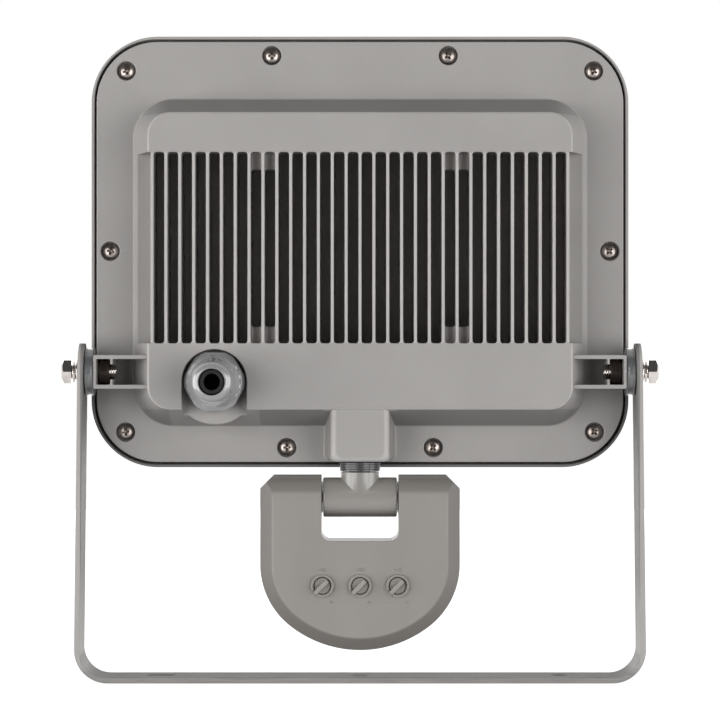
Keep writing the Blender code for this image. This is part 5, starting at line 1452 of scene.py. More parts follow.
@dataclass
class Screws:
    """The ten housing screws and the four screws of the LED board."""

    turned_by: tuple[float, ...] = (20.0, -28.0, 4.0, 33.0, -12.0, 45.0, 12.0, 38.0, 2.0, 41.0)

    def build(self) -> None:
        """Set each screw in its counterbore, each turned by its own angle."""
        screw = CrossScrew(head=0.0070, head_height=0.0024, shank=0.0040, length=0.0120, recess=0.0017)
        for number, angle in enumerate(self.turned_by, 1):
            node = f"housing_screw_{number:02d}"
            centre = middle(node)
            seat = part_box(node)[0].y + screw.length
            place = along_y(centre.x, seat, centre.z) @ Matrix.Rotation(math.radians(angle), 4, 'Z')
            screw.solid(place).dress(f"cross_screw_{number:02d}", SCREW_STEEL, node)
        small = CrossScrew(head=0.0056, head_height=0.0018, shank=0.0030, length=0.0080, recess=0.0015)
        for number in range(1, 5):
            node = f"led_board_screw_{number}"
            centre = middle(node)
            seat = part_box(node)[1].y - small.length
            place = along_y(centre.x, seat, centre.z) @ Matrix.Rotation(math.pi, 4, 'X')
            small.solid(place).dress(f"board_screw_{number}", SCREW_STEEL, node)


@dataclass
class Pivots:
    """Bolts, washers, spacers and nuts that hang the lamp in its bracket."""

    layout: Layout
    flats: float = 0.0100
    bolt: float = 0.0060
    pitch: float = 0.0010
    washer: float = 0.0112
    split_washer: float = 0.0096
    split: float = 0.09
    spacer: float = 0.0210
    spacer_rim: float = 0.0010
    spacer_groove: float = 0.00025

    def hexagon(self, place: Matrix, low: float, high: float, ends: tuple[bool, bool]) -> Solid:
        """Make a hexagon whose chosen ends are chamfered as bolt heads are.

        Args:
            place: placing matrix, whose local Z is the axis.
            low: first level.
            high: last level.
            ends: whether the low and the high end are chamfered.

        Returns:
            The hexagon.
        """
        corner = self.flats / math.sqrt(3)
        ring = self.flats * 0.43
        drop = (corner - ring) * math.tan(math.radians(33))
        turned = place @ Matrix.Rotation(QUARTER, 4, 'Z')
        block = Solid.rod("hexagon", turned, corner, low, high, 6)
        profile = [(0.0, low), (ring, low), (corner + 0.0001, low + drop)] if ends[0] else [
            (0.0, low - 0.001), (corner + 0.001, low - 0.001)]
        profile += [(corner + 0.0001, high - drop), (ring, high), (0.0, high)] if ends[1] else [
            (corner + 0.001, high + 0.001), (0.0, high + 0.001)]
        return block.keep(Solid.turned("chamfer", profile, place, 72))

    def build(self) -> None:
        """Make both sides."""
        for side, word in ((1, "left"), (-1, "right")):
            self.side(side, word)

    def side(self, side: int, word: str) -> None:
        """Make the pieces of one side.

        Args:
            side: 1 for the +X side, -1 for the other.
            word: the side's name in the frame's nodes.
        """
        place = along_x(0, 0, self.layout.pivot_z, side)
        spans = {}
        for node in ("pivot_bolt", "pivot_nut", "plain_washer", "spring_washer", "pivot_spacer"):
            low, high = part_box(f"{node}_{word}")
            spans[node] = sorted((side * low.x, side * high.x))
        tip, crown = spans["pivot_bolt"]
        seat = spans["spring_washer"][1] + GAP
        bolt = self.hexagon(place, seat, crown, (False, True))
        bolt.gather(threaded(place, self.bolt / 2, tip, seat + 0.0005, self.pitch))
        bolt.dress(f"hex_bolt_{word}", STAINLESS, f"pivot_bolt_{word}", smooth=30.0)
        low, high = spans["pivot_nut"]
        nut = self.hexagon(place, low, high, (True, True))
        nut.cut(threaded(place, self.bolt / 2 + GAP, low - 0.001, high + 0.001, self.pitch))
        nut.dress(f"hex_nut_{word}", SHADED_NUT_STEEL, f"pivot_nut_{word}", smooth=30.0)
        bore = self.bolt / 2 + GAP
        low, high = spans["plain_washer"]
        wide = self.washer / 2
        profile = soften([(wide, high), (wide, low), (bore, low), (bore, high)],
                         [0.00025, 0.0001, 0.0001, 0.0001], 4, closed=True)
        Solid.turned("washer", profile, place, 64, ring=True).dress(
            f"flat_washer_{word}", STAINLESS, f"plain_washer_{word}")
        self.spring(place, *spans["spring_washer"]).dress(
            f"split_washer_{word}", STAINLESS, f"spring_washer_{word}", smooth=40.0)
        low, high = spans["pivot_spacer"]
        wide, deep = self.spacer / 2, self.spacer / 2 - self.spacer_groove
        upper, lower = high - self.spacer_rim, low + self.spacer_rim
        profile = soften([(wide, high), (wide, upper), (deep, upper), (deep, lower), (wide, lower),
                          (wide, low), (bore, low), (bore, high)],
                         [0.0003, 0.0001, 0.0001, 0.0001, 0.0001, 0.0003, 0.0002, 0.0002], 3, closed=True)
        Solid.turned("spacer", profile, place, 96, ring=True).dress(
            f"spacer_disc_{word}", SPACER_PLASTIC, f"pivot_spacer_{word}")

    def spring(self, place: Matrix, low: float, high: float) -> Solid:
        """Coil a split spring washer between two levels.

        Args:
            place: placing matrix, whose local Z is the axis.
            low: first level.
            high: last level.

        Returns:
            The washer.
        """
        outer, inner, steps = self.split_washer / 2, self.bolt / 2 + GAP, 64
        rings = []
        wire = (high - low) * 0.86
        for i in range(steps + 1):
            angle = math.radians(100) + (2 * math.pi - self.split) * i / steps
            base = low + (high - low - wire) * i / steps
            section = rounded(inner, outer, base, base + wire, 0.00018, 3)
            rings.append([place @ Matrix.Rotation(angle, 4, 'Z') @ Vector((x, 0.0, z)) for x, z in section])
        return Solid.loft("spring", rings)


@dataclass
class CableGland:
    """Cable gland in the alcove: O-ring, body with its hexagon, cap nut and seal."""

    layout: Layout
    flats: float = 0.0254
    corner_diameter: float = 0.0270
    cap_diameter: float = 0.0234
    grip: float = 0.0120
    shoulder: float = 0.0176
    mouth: float = 0.0115
    ridges: int = 18
    ridge_depth: float = 0.0007
    sleeve: float = 0.0172
    seal_bore: float = 0.0071
    seal_diameter: float = 0.0130
    seal_neck: float = 0.0120
    thread_diameter: float = 0.0200
    thread_pitch: float = 0.0015
    bore: float = 0.0136
    o_ring: Point = (0.0230, 0.0206)

    @property
    def place(self) -> Matrix:
        """Placing matrix of all its pieces, whose local Z is the axis."""
        x, z = self.layout.gland
        return along_y(x, 0, z)

    def build(self) -> None:
        """Make the gland's pieces on their shared axis."""
        self.body()
        self.cap()
        self.seal()
        low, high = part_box("gland_o_ring")
        outer, inner = self.o_ring[0] / 2, self.o_ring[1] / 2
        profile = soften([(outer, high.y), (outer, low.y), (inner, low.y), (inner, high.y)], [0.00055] * 4, 6,
                         closed=True)
        Solid.turned("o_ring", profile, self.place, 96, ring=True).dress(
            "o_ring_cord", BLACK_RUBBER, "gland_o_ring")

    def body(self) -> None:
        """Make the body: trimmed hexagon, thread and clamping sleeve."""
        place = self.place
        low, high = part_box("gland_body")
        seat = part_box("gland_o_ring")[1].y + GAP
        hex_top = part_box("gland_cap")[0].y - GAP
        corner = self.flats / math.sqrt(3)
        block = Solid.rod("hexagon", place, corner, seat, hex_top, 6)
        trim = self.corner_diameter / 2
        profile = soften([(0.0, seat), (trim - 0.0008, seat), (trim, seat + 0.0006),
                          (trim, hex_top - 0.0012), (trim - 0.0016, hex_top), (0.0, hex_top)],
                         [0, 0.0003, 0.0003, 0.0005, 0.0005, 0], 4)
        block.keep(Solid.turned("trim", profile, place, 96))
        block.join(threaded(place, self.thread_diameter / 2, low.y, seat + 0.0005, self.thread_pitch, 48))
        block.join(Solid.rod("sleeve", place, self.sleeve / 2, hex_top - 0.0005, high.y, 64, 0.0008))
        block.cut(Solid.rod("bore", place, self.bore / 2, low.y - PAST, high.y + PAST, 48))
        block.dress("gland_hexagon", GLAND_PLASTIC, "gland_body", smooth=30.0)

    def cap(self) -> None:
        """Turn the cap nut with its ridged grip and its dome."""
        low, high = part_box("gland_cap")
        grip_top, tip = low.y + self.grip, high.y
        outer, shoulder, mouth = self.cap_diameter / 2, self.shoulder / 2, self.mouth / 2
        room = self.sleeve / 2 + GAP
        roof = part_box("gland_body")[1].y + GAP
        wide, deep = shoulder + 0.0007 - mouth, 0.0052
        dome = [(mouth + wide * math.sin(turn), tip - deep * (1 - math.cos(turn)))
                for turn in (QUARTER * i / 16 for i in range(16, 0, -1))]
        corners = [(room, low.y), (outer, low.y), (outer, grip_top - 0.0010),
                   (outer - 0.0018, grip_top + 0.0014), *dome, (mouth, tip), (mouth, roof + room - mouth),
                   (room, roof)]
        radii = [0.0002, 0.0006, 0.0016, 0.0030] + [0.0] * len(dome) + [0.0005, 0.0003, 0.0003]
        profile = soften(corners, radii, 6, closed=True)

        def ridge(angle: float, height: float) -> float:
            """Give the grip its ridges.

            Args:
                angle: angle round the axis.
                height: height along the axis.

            Returns:
                How far the grip sinks there.
            """
            if height > grip_top or height < low.y + 0.0004:
                return 0.0
            ease = min(1.0, (grip_top - height) / 0.003)
            return -self.ridge_depth * ease * (0.5 - 0.5 * math.cos(self.ridges * angle)) ** 2

        dense: Outline = []
        for one, two in zip(profile, profile[1:] + profile[:1]):
            parts = max(1, round((Vector(two) - Vector(one)).length / 0.0015))
            dense += [tuple(Vector(one).lerp(Vector(two), i / parts)) for i in range(parts)]
        cap = Solid.turned("cap", dense, self.place, 216, ring=True, shape=ridge)
        cap.dress("gland_cap_nut", GLAND_PLASTIC, "gland_cap")

    def seal(self) -> None:
        """Turn the rubber seal with its empty bore."""
        low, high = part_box("gland_seal")
        neck, wide, bore = self.mouth / 2 - GAP, self.seal_diameter / 2, self.seal_bore / 2
        step = high.y - self.seal_neck
        profile = soften([(neck, high.y), (neck, step), (wide, step - 0.0005), (wide, low.y), (bore, low.y),
                          (bore, high.y)], [0.0007, 0.0003, 0.0003, 0.0004, 0.0004, 0.0007], 5, closed=True)
        Solid.turned("seal", profile, self.place, 72, ring=True).dress(
            "gland_seal_ring", SEAL_RUBBER, "gland_seal")


@dataclass
class Bracket:
    """Painted steel strap bent to a U."""

    layout: Layout
    thickness: float = 0.0025
    width: float = 0.025
    bend: float = 0.0145
    edge: float = 0.0005
    centre_hole: float = 0.0070
    side_hole: float = 0.0063
    slot_length: float = 0.0124
    hole_inset: float = 0.0373
    ear_hole: float = 0.0066

    def stations(self, foot_x: float, pivot_x: float) -> list[tuple[Point, Point, float]]:
        """List places along the +X leg, from the ear's top to the foot's middle.

        Args:
            foot_x: outer half width above the foot's bend.
            pivot_x: outer half width at the pivot.

        Returns:
            The centre (x, z), the outward direction and the half width at each place.
        """
        half, pivot_z = self.width / 2, self.layout.pivot_z
        lean = (pivot_x - foot_x) / (pivot_z - self.bend)
        outward = Vector((1.0, -lean)).normalized()
        swings = [math.radians(88) * (1 - step / 24) for step in range(25)]
        places = [(pivot_z + half * math.sin(swing), half * math.cos(swing)) for swing in swings]
        places += [(pivot_z * share, half) for share in (0.75, 0.5, 0.25)]
        result = [((foot_x + lean * (z - self.bend) - self.thickness / 2, z), tuple(outward), reach)
                  for z, reach in places]
        centre = (foot_x - self.bend, self.bend)
        for step in range(19):
            angle = -QUARTER * step / 18
            facing = (math.cos(angle), math.sin(angle))
            radius = self.bend - self.thickness / 2
            result.append(((centre[0] + radius * facing[0], centre[1] + radius * facing[1]), facing, half))
        return result

    def build(self) -> None:
        """Sweep the strap's rounded section and drill its holes."""
        foot_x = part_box("mounting_bracket")[1].x
        pivot_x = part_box("pivot_spacer_left")[1].x + GAP + self.thickness
        one_leg = self.stations(foot_x, pivot_x)
        other_leg = [((-x, z), (-facing[0], facing[1]), half) for (x, z), facing, half in one_leg[::-1]]
        rings = []
        for (x, z), facing, half in one_leg + other_leg:
            edge = min(self.edge, half * 0.45)
            section = rounded(-half, half, -self.thickness / 2, self.thickness / 2, edge, 4)
            rings.append([Vector((x + facing[0] * out, across, z + facing[1] * out))
                          for across, out in section])
        strap = Solid.loft("strap", rings)
        for low, high in ((pivot_x - 0.008, pivot_x + 0.006), (-pivot_x - 0.006, 0.008 - pivot_x)):
            strap.cut(Solid.rod("ear_hole", along_x(0, 0, self.layout.pivot_z), self.ear_hole / 2, low, high))
        hole_x = foot_x - self.hole_inset
        strap.cut(self.hole(0.0, 0.0, self.centre_hole / 2), self.hole(-hole_x, 0.0, self.side_hole / 2),
                  self.hole(hole_x, (self.slot_length - self.side_hole) / 2, self.side_hole / 2))
        strap.dress("bent_strap", STRAP_PAINT, "mounting_bracket", body=Body.BRACKET)

    def hole(self, x: float, stretch: float, radius: float) -> Solid:
        """Make the cutter of a foot hole or slot with soft rims.

        Args:
            x: place along the foot.
            stretch: half of how much longer than wide it is.
            radius: half its width.

        Returns:
            The cutter.
        """
        rings = []
        edge = 0.0004
        for extra, z in ((edge, -PAST), (edge, -0.00001), (0.0, edge), (0.0, self.thickness - edge),
                         (edge, self.thickness + 0.00001), (edge, self.thickness + PAST)):
            outline = arc((x + stretch, 0.0), radius + extra, -QUARTER, QUARTER, 20)
            outline += arc((x - stretch, 0.0), radius + extra, QUARTER, 3 * QUARTER, 20)
            rings.append([Vector((a, b, z)) for a, b in (outline if stretch else outline[:-1])])
        return Solid.loft("hole", rings)


@dataclass
class Neck:
    """Collar under the boss and the tee knuckle that carries the sensor."""

    layout: Layout
    barrel: float = 0.0175
    stub: float = 0.0172
    collar: float = 0.0179
    grooves: int = 4
    collar_bore: float = 0.0106
    neck: float = 0.0100
    neck_pitch: float = 0.0010
    wire_bore: float = 0.0050
    pin_bore: float = 0.0046

    def build(self) -> None:
        """Make the collar and the knuckle."""
        low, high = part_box("boss_collar")
        pitch = (high.z - low.z) / self.grooves
        wide = self.collar / 2
        profile: Outline = []
        for groove in range(self.grooves):
            base = low.z + groove * pitch
            profile += [(wide - 0.0002, base + pitch * 0.04), (wide, base + pitch * 0.12),
                        (wide, base + pitch * 0.88), (wide - 0.0002, base + pitch * 0.96)]
        bore = self.collar_bore / 2
        profile = soften(profile + [(bore, high.z), (bore, low.z)],
                         [0.0001] * (len(profile) + 2), 2, closed=True)
        Solid.turned("collar", profile, along_z(0, 0, 0), 96, ring=True).dress(
            "ringed_collar", COLLAR_PLASTIC, "boss_collar")
        hinge = self.layout.hinge_z
        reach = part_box("tee_knuckle")[1].x
        stub_top = low.z - GAP
        knuckle = Solid.rod("barrel", along_x(0, 0, hinge), self.barrel / 2, -reach, reach, 96, 0.0007)
        knuckle.join(Solid.rod("stub", along_z(0, 0, 0), self.stub / 2, hinge, stub_top, 96, 0.0003))
        neck_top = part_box("tee_knuckle")[1].z
        wire, pin = self.wire_bore / 2, self.pin_bore / 2
        knuckle.cut(Solid.rod("wire_bore", along_z(0, 0, 0), wire, hinge, stub_top + PAST, 24),
                    Solid.rod("pin_bore", along_x(0, 0, hinge), pin, -reach - PAST, reach + PAST, 24))
        neck = threaded(along_z(0, 0, 0), self.neck / 2, stub_top - 0.0002, neck_top, self.neck_pitch, 32)
        neck.cut(Solid.rod("wire_bore", along_z(0, 0, 0), wire, hinge, neck_top + PAST, 24))
        knuckle.gather(neck)
        knuckle.dress("tee_moulding", TEE_PLASTIC, "tee_knuckle", body=Body.ARM, smooth=30.0)


@dataclass
class SensorHead:
    """Sensor head: two shells, lens and the marks round the controls."""

    layout: Layout
    half: float = 0.0438
    drop: float = 0.0669
    side_inset: float = 0.0095
    bottom_extra: float = 0.0058
    split: float = -0.0030
    bevel: Point = (0.0058, 0.0050)
    front_bevel: float = 0.0035
    arm: float = 0.0100
    corner: float = 0.0060
    hood: float = 0.0105
    wall: float = 0.0020
    notch_drop: float = 0.0188
    notch_corner: float = 0.0040
    ring: Point = (0.0100, 0.0080)
    ring_proud: float = 0.0014
    ring_gap: float = math.radians(38.0)
    knob_hole: float = 0.0075
    lens_inset: float = 0.0158
    lens_flange: float = 0.0016
    lens_wall: float = 0.0012
    facet_height: float = 0.00035

    @property
    def rear(self) -> float:
        """Level of the flat rear face."""
        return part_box("sensor_rear_shell")[1].y - self.ring_proud

    @property
    def front(self) -> float:
        """Level of the flat front face."""
        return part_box("sensor_front_shell")[0].y

    @property
    def knobs(self) -> list[Vector]:
        """Places of the three controls."""
        return [middle(f"potentiometer_{word}") for word in ("left", "middle", "right")]

    @property
    def lens_radius(self) -> float:
        """Radius of the lens the short way."""
        low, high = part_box("pir_lens")
        return (high.z - low.z) / 2 - self.lens_flange

    def lens_place(self) -> Matrix:
        """Place a form that is turned about local Z: facing forward, and stretched to the lens's oval.

        Returns:
            The placing matrix.
        """
        stretch = Matrix.Diagonal(((self.half - self.lens_inset) / self.lens_radius, 1, 1, 1))
        place = Matrix.Translation((0, self.front, middle("pir_lens").z))
        return place @ stretch @ Matrix.Rotation(QUARTER, 4, 'X')

    def outline(self, inset: float, steps: int = 24) -> Outline:
        """List the head's outline: straight sides, round shoulders and a wide arc below.

        Args:
            inset: how far it is moved inward.
            steps: parts of each arc.

        Returns:
            The outline in X and Z.
        """
        half, top = self.half - inset, self.layout.hinge_z + self.arm
        big, small = self.half + self.bottom_extra, self.half - self.side_inset
        wide_z = self.layout.hinge_z - self.drop + big
        side_x = self.half - small
        side_z = wide_z - math.sqrt((big - small) ** 2 - side_x ** 2)
        turn = math.atan2(side_z - wide_z, side_x)
        right = arc((side_x, side_z), small - inset, 0.0, turn, steps)
        below = arc((0.0, wide_z), big - inset, turn, -math.pi - turn, 2 * steps)
        left = arc((-side_x, side_z), small - inset, -math.pi - turn, -math.pi, steps)
        return [(half, top)] + right + below[1:-1] + left + [(-half, top)]

    def block(self, section: Outline) -> Solid:
        """Loft the head's outline through (inset, y) levels."""
        return Solid.loft("head", [level(self.outline(inset), y) for inset, y in section])

    def trim(self, shell: Solid, grow: float = 0.0) -> Solid:
        """Cut the notch, the upper corners, the arms' round and the hood's slope.

        Args:
            shell: the block that is trimmed.
            grow: how much less of the block is left, for the hollow inside.

        Returns:
            The trimmed block.
        """
        hinge, top = self.layout.hinge_z, self.layout.hinge_z + self.arm
        low_y, high_y = self.front - PAST, self.rear + PAST
        half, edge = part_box("tee_knuckle")[1].x + 0.0007 + grow, 0.0005
        section = [(0.0, low_y), (0.0, self.rear - edge), (-edge * 0.3, self.rear - edge * 0.3),
                   (-edge, self.rear + 0.00002), (-edge, high_y)]
        rings = [level(rounded(inset - half, half - inset, hinge - self.notch_drop - grow + inset,
                               top + 0.01, self.notch_corner, 8), y) for inset, y in section]
        shell.cut(Solid.loft("notch", rings))
        chamfer = self.corner + grow
        for side in (1, -1):
            corner = [(side * (self.half - chamfer - PAST), top + PAST),
                      (side * (self.half + PAST), top - chamfer - PAST),
                      (side * (self.half + 2 * PAST), top + PAST)]
            shell.cut(Solid.flat("corner", [corner], low_y, high_y))
        waste = arc((0.0, hinge), self.arm - grow, 0.0, math.pi, 40)
        slope = self.hood * PAST / (-self.arm - self.front)
        waste += [(low_y, hinge - self.hood - grow - slope), (low_y, top + PAST), (high_y, top + PAST),
                  (high_y, hinge)]
        return shell.cut(Solid.flat("round", [waste], -self.half - PAST, self.half + PAST, way=Way.YZ))

    def rear_shell(self) -> None:
        """Mould the rear shell with its bevel, control rings and small raised marks."""
        run, deep = self.bevel
        rear = self.rear
        section = soften([(0.0003, self.split), (0.0, self.split + 0.0003), (0.0, rear - deep), (run, rear),
                          (run + 0.004, rear)], [0, 0, 0.0010, 0.0008, 0], 6)
        shell = self.trim(self.block(section))
        inner = soften([(self.wall, self.split - 0.0005), (self.wall, rear - deep - self.wall),
                        (self.wall + run, rear - self.wall)], [0, 0.001, 0], 3)
        shell.cut(self.trim(self.block(inner), self.wall))
        for place in self.knobs:
            shell.cut(Solid.rod("knob_hole", along_y(place.x, 0, place.z), self.knob_hole / 2, rear - 0.006,
                                rear + PAST, 40))
        extras = []
        for place in self.knobs:
            gap = self.ring_gap / 2
            start, end = math.radians(-45) + gap, math.radians(-45) + 2 * math.pi - gap
            outer = arc((place.x, place.z), self.ring[0] / 2, start, end, 56)
            inside = arc((place.x, place.z), self.ring[1] / 2, start, end, 56)
            extras.append(Solid.flat("ring", [outer + inside[::-1]], rear - 0.0006, rear + self.ring_proud,
                                     0.00025))
            extras += self.marks(place, rear)
        shell.gather(*extras).dress("sensor_rear_moulding", SHELL_PLASTIC, "sensor_rear_shell",
                                    body=Body.HEAD, smooth=30.0)

    def marks(self, place: Vector, rear: float) -> list[Solid]:
        """Raise plain marks by one control: a minus, a plus and three ticks that grow.

        Args:
            place: the control's axis.
            rear: level of the face.

        Returns:
            The marks.
        """
        bars = [(place.x + 0.0040, place.z - 0.0072, 0.0007, 0.00016),
                (place.x - 0.0040, place.z - 0.0072, 0.0007, 0.00016),
                (place.x - 0.0040, place.z - 0.0072, 0.00016, 0.0007)]
        bars += [(place.x + 0.0012 - 0.0012 * i, place.z + 0.0070, 0.00016, 0.00035 + 0.00025 * i)
                 for i in range(3)]
        return [Solid.box("mark", Vector((x - wide, rear - 0.0003, z - tall)),
                          Vector((x + wide, rear + 0.00025, z + tall)), 0.00006) for x, z, wide, tall in bars]

    def front_shell(self) -> None:
        """Mould the front shell with the lens opening."""
        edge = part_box("sensor_front_shell")[1].y
        front, bevel = self.front, self.front_bevel
        section = soften([(bevel + 0.004, front), (bevel, front), (0.0, front + bevel), (0.0, edge - 0.0003),
                          (0.0003, edge)], [0, 0.0014, 0.0014, 0, 0], 6)
        shell = self.trim(self.block(section))
        inner = [(self.wall + bevel, front + self.wall), (self.wall, front + bevel + self.wall),
                 (self.wall, edge + 0.0005)]
        shell.cut(self.trim(self.block(inner), self.wall))
        shell.cut(Solid.rod("opening", self.lens_place(), self.lens_radius + GAP, -PAST, PAST, 96))
        shell.dress("sensor_front_moulding", SENSOR_PLASTIC, "sensor_front_shell", body=Body.HEAD,
                    smooth=30.0)

    def lens(self) -> None:
        """Mould the lens as a dome of small facets that bulge."""
        radius, bulge, wall = self.lens_radius, self.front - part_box("pir_lens")[0].y, self.lens_wall
        seat, flange = -self.wall - GAP, self.lens_radius + self.lens_flange
        rows, columns, fine = 5, 14, 6
        foot: Outline = [(radius, seat), (flange, seat), (flange, seat - wall), (radius - wall, seat - wall)]
        turns = [QUARTER * i / (rows * fine) for i in range(rows * fine + 1)]
        inside = [((radius - wall) * math.cos(a), (bulge - wall) * math.sin(a)) for a in turns]
        outside = [(radius * math.cos(a), bulge * math.sin(a)) for a in turns[::-1]]

        def facet(angle: float, height: float) -> float:
            """Give the dome its facets.

            Args:
                angle: angle round the axis.
                height: height along the axis.

            Returns:
                How far the dome bulges there.
            """
            if height <= 0.0002 or height >= bulge - 0.0002:
                return 0.0
            row = math.asin(min(1.0, height / bulge)) / QUARTER * rows
            bulging = abs(math.sin(row * math.pi)) * abs(math.sin(angle * columns / 2)) - 0.6
            return self.facet_height * bulging

        shell = Solid.turned("lens", outside + foot + inside, self.lens_place(), columns * 8, shape=facet)
        shell.dress("lens_moulding", MILKY_LENS, "pir_lens", body=Body.HEAD, smooth=20.0)

    def build(self) -> None:
        """Make the shells and the lens."""
        self.rear_shell()
        self.front_shell()
        self.lens()


@dataclass
class Knobs:
    """The three adjusting knobs with their pointer bars."""

    diameter: float = 0.0069
    bar: float = 0.0018
    bar_height: float = 0.0010
    reach: float = 0.0044
    shaft: float = 0.0038
    disc: float = 0.0018
    hollow: float = 0.0007

    def build(self) -> None:
        """Make each knob on its own body."""
        for word in ("left", "middle", "right"):
            node = f"adjusting_knob_{word}"
            axis = middle(f"potentiometer_{word}")
            knob = self.knob(axis, *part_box(node))
            knob.dress(f"pointer_knob_{word}", KNOB_PLASTIC, node, body=Body(f"knob_{word}"))

    def knob(self, axis: Vector, low: Vector, high: Vector) -> Solid:
        """Turn a knob and lay its pointer bar over it.

        Args:
            axis: a point on its axis.
            low: lowest corner of its box.
            high: highest corner of its box.

        Returns:
            The knob.
        """
        over = high.y - self.bar_height
        face = over - GAP - self.bar_height
        place = along_y(axis.x, 0, axis.z)
        radius = self.diameter / 2
        edge = radius - self.hollow
        profile = soften([(0.0, face - 0.0002), (edge, face - 0.0002), (edge + 0.0002, face), (radius, face),
                          (radius, face - self.disc), (0.0, face - self.disc)],
                         [0, 0.0001, 0.0001, 0.0002, 0.0002, 0], 3)
        knob = Solid.turned("knob", profile, place, 64)
        knob.gather(Solid.rod("shaft", place, self.shaft / 2, low.y, face - 0.0012, 24))
        pointing, across = Vector((1, -1)).normalized(), Vector((1, 1)).normalized()
        tail, half = radius - GAP, self.bar / 2
        centre = Vector((axis.x, axis.z))
        for start, reach, wide, floor, roof in (
                (-tail, tail, half, face - 0.0005, high.y),
                (tail - 0.0012, self.reach, half - 0.00004, over, high.y - 0.00004)):
            corners = [(reach, wide), (start, wide), (start, -wide), (reach, -wide)]
            outline = [tuple(centre + pointing * a + across * b) for a, b in corners]
            bar = soften(outline, [0.00035] * 4, 4, closed=True)
            knob.gather(Solid.flat("bar", [bar], floor, roof, 0.00018))
        return knob


def dress_nodes() -> None:
    """Give the frame's own nodes, which stay as they are, their finishes."""
    finishes = {"driver_module": DARK_PLASTIC, "terminal_block": TERMINAL_PLASTIC, "tee_nut": STAINLESS,
                "sensor_board": BOARD_GREEN, "pir_element": CAN_STEEL}
    for word in ("left", "middle", "right"):
        finishes[f"potentiometer_{word}"] = DARK_PLASTIC
    for word in ("left", "right"):
        finishes[f"hinge_pin_{word}"] = STAINLESS
        finishes[f"hinge_washer_{word}"] = SPACER_PLASTIC
    for node, finish in finishes.items():
        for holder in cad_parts[node].material_slots:
            holder.material = finish.material()
        LOG.info("%s keeps its form", node)


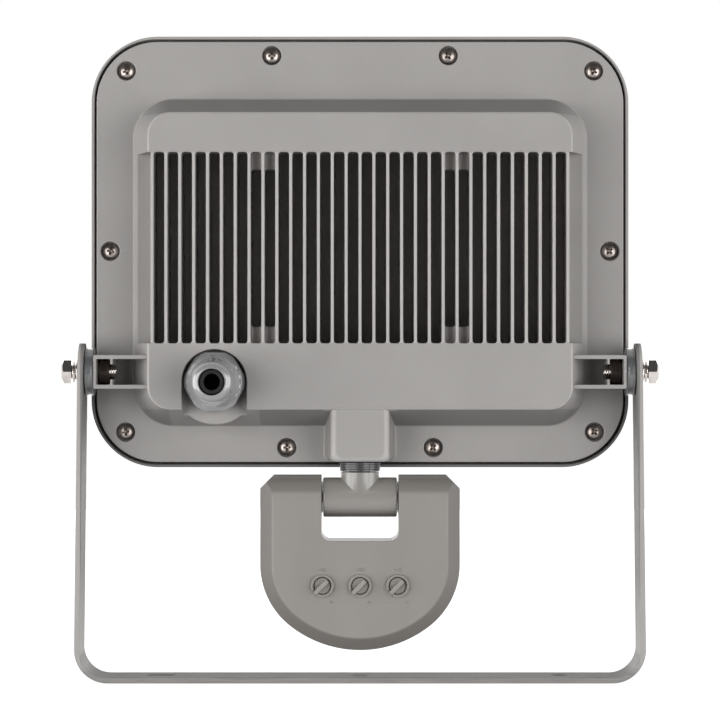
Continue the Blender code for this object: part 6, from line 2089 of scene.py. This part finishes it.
@dataclass
class Studio:
    """Camera, soft lamps, white surroundings and a pale floor."""

    distance: float = 1.3885
    height: float = 0.1412
    lens: float = 157.65
    box_distance: float = 1.6
    box_height: float = 1.2
    box_aim: float = 0.16
    dim: float = 0.09
    backdrop_edge: Point = (0.05, 0.35)
    table_edge: Point = (-0.35, -0.12)
    floor_drop: float = 0.0004
    floor_colour: Colour = (0.6, 0.6, 0.6)
    floor_fade: float = 2.2
    floor_shade: float = 0.84
    boxes: tuple[tuple[str, float, float, float], ...] = (
        ("near_left", 36.0, 0.95, 13.6), ("near_right", -36.0, 0.95, 13.6), ("far_left", 74.0, 0.9, 15.0),
        ("far_right", -74.0, 0.9, 11.5), ("window_side", 180.0, 2.2, 20.0))

    def camera(self) -> None:
        """Set the camera level behind the lamp, looking along -Y."""
        data = bpy.data.cameras.new("camera")
        data.sensor_width = 36.0
        data.lens = self.lens
        data.clip_end = 50.0
        obj = bpy.data.objects.new("camera", data)
        obj.location = (0.0, self.distance, self.height)
        obj.rotation_euler = (QUARTER, 0.0, math.pi)
        bpy.context.scene.collection.objects.link(obj)
        bpy.context.scene.camera = obj

    def softbox(self, name: str, azimuth: float, width: float, power: float) -> None:
        """Hang a softbox that faces the lamp.

        Args:
            name: name of the lamp.
            azimuth: angle from +Y towards +X in degrees.
            width: width of the box.
            power: power in watts.
        """
        data = bpy.data.lights.new(name, 'AREA')
        data.shape = 'RECTANGLE'
        data.size = width
        data.size_y = self.box_height
        data.energy = power
        obj = bpy.data.objects.new(name, data)
        turn = math.radians(azimuth)
        obj.location = (self.box_distance * math.sin(turn), self.box_distance * math.cos(turn), self.box_aim)
        facing = Vector((0, 0, self.box_aim)) - obj.location
        obj.rotation_euler = facing.to_track_quat('-Z', 'Y').to_euler()
        obj.visible_camera = False
        bpy.context.scene.collection.objects.link(obj)

    def world(self) -> None:
        """Surround the scene with white for camera, gloss and glass, and with little other light."""
        world = bpy.data.worlds.new("surroundings")
        bpy.context.scene.world = world
        world.use_nodes = True
        tree = world.node_tree
        tree.nodes.clear()
        rays = tree.nodes.new("ShaderNodeLightPath").outputs
        seen = worked_out(tree, 'MAXIMUM', rays["Is Camera Ray"], rays["Is Transmission Ray"])
        gloss = worked_out(tree, 'MULTIPLY', self.backdrop(tree), rays["Is Glossy Ray"])
        white = added(tree, "Background", {"Color": (1.0, 1.0, 1.0, 1.0), "Strength": 1.0})
        dim = added(tree, "Background", {"Strength": self.dim})
        share = worked_out(tree, 'MAXIMUM', seen, gloss)
        both = added(tree, "MixShader", {0: share, 1: dim.outputs[0], 2: white.outputs[0]})
        added(tree, "OutputWorld", {0: both.outputs[0]})

    def backdrop(self, tree: bpy.types.NodeTree) -> Socket:
        """Tell the white backdrop and table from the dim studio above and behind the camera.

        Args:
            tree: the world's nodes.

        Returns:
            1 towards the backdrop and the table, 0 elsewhere.
        """
        parts = added(tree, "SeparateXYZ", {0: tree.nodes.new("ShaderNodeTexCoord").outputs["Generated"]})
        shares = []
        for axis, start, end in (("Y", *self.backdrop_edge), ("Z", *self.table_edge)):
            inputs = {"Value": parts.outputs[axis], "From Min": start, "From Max": end, "To Min": 1.0,
                      "To Max": 0.0}
            shares.append(added(tree, "MapRange", inputs).outputs[0])
        return worked_out(tree, 'MAXIMUM', *shares)

    def floor(self) -> None:
        """Lay a pale floor that shows white and keeps a faint shadow."""
        bpy.ops.mesh.primitive_plane_add(size=12.0, location=(0, 0, -self.floor_drop))
        obj = bpy.context.object
        obj.name = "pale_floor"
        material = bpy.data.materials.new("pale_floor")
        material.use_nodes = True
        tree = material.node_tree
        tree.nodes.clear()
        place = tree.nodes.new("ShaderNodeTexCoord").outputs["Object"]
        near = added(tree, "VectorMath", {0: place, "Scale": self.floor_fade}, 'SCALE').outputs[0]
        fade = added(tree, "TexGradient", {0: near})
        fade.gradient_type = 'SPHERICAL'
        inputs = {"Value": fade.outputs[1], "To Min": 1.0, "To Max": self.floor_shade}
        glow = added(tree, "Emission", {"Strength": added(tree, "MapRange", inputs).outputs[0]})
        matt = added(tree, "BsdfDiffuse", {"Color": (*self.floor_colour, 1.0)})
        both = added(tree, "AddShader", {0: glow.outputs[0], 1: matt.outputs[0]})
        added(tree, "OutputMaterial", {0: both.outputs[0]})
        obj.data.materials.append(material)
        obj.visible_shadow = False
        obj.visible_diffuse = False
        obj.visible_glossy = False

    def build(self) -> None:
        """Set up the studio."""
        self.camera()
        for name, azimuth, width, power in self.boxes:
            self.softbox(f"{name}_softbox", azimuth, width, power)
        self.world()
        self.floor()
        bpy.context.scene.view_settings.view_transform = 'Standard'


def main() -> None:
    """Build and dress the floodlight, then set up the studio."""
    logging.basicConfig(level=logging.INFO, format="%(name)s %(message)s")
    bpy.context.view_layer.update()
    layout = Layout.read()
    Studio().build()
    for assembly in (RearHousing(layout), FrontFrame(layout), Window(layout), LightEngine(layout), Screws(),
                     Pivots(layout), CableGland(layout), Bracket(layout), Neck(layout), SensorHead(layout),
                     Knobs()):
        LOG.info("building %s", type(assembly).__name__)
        assembly.build()
    dress_nodes()


if __name__ == "__main__":
    main()
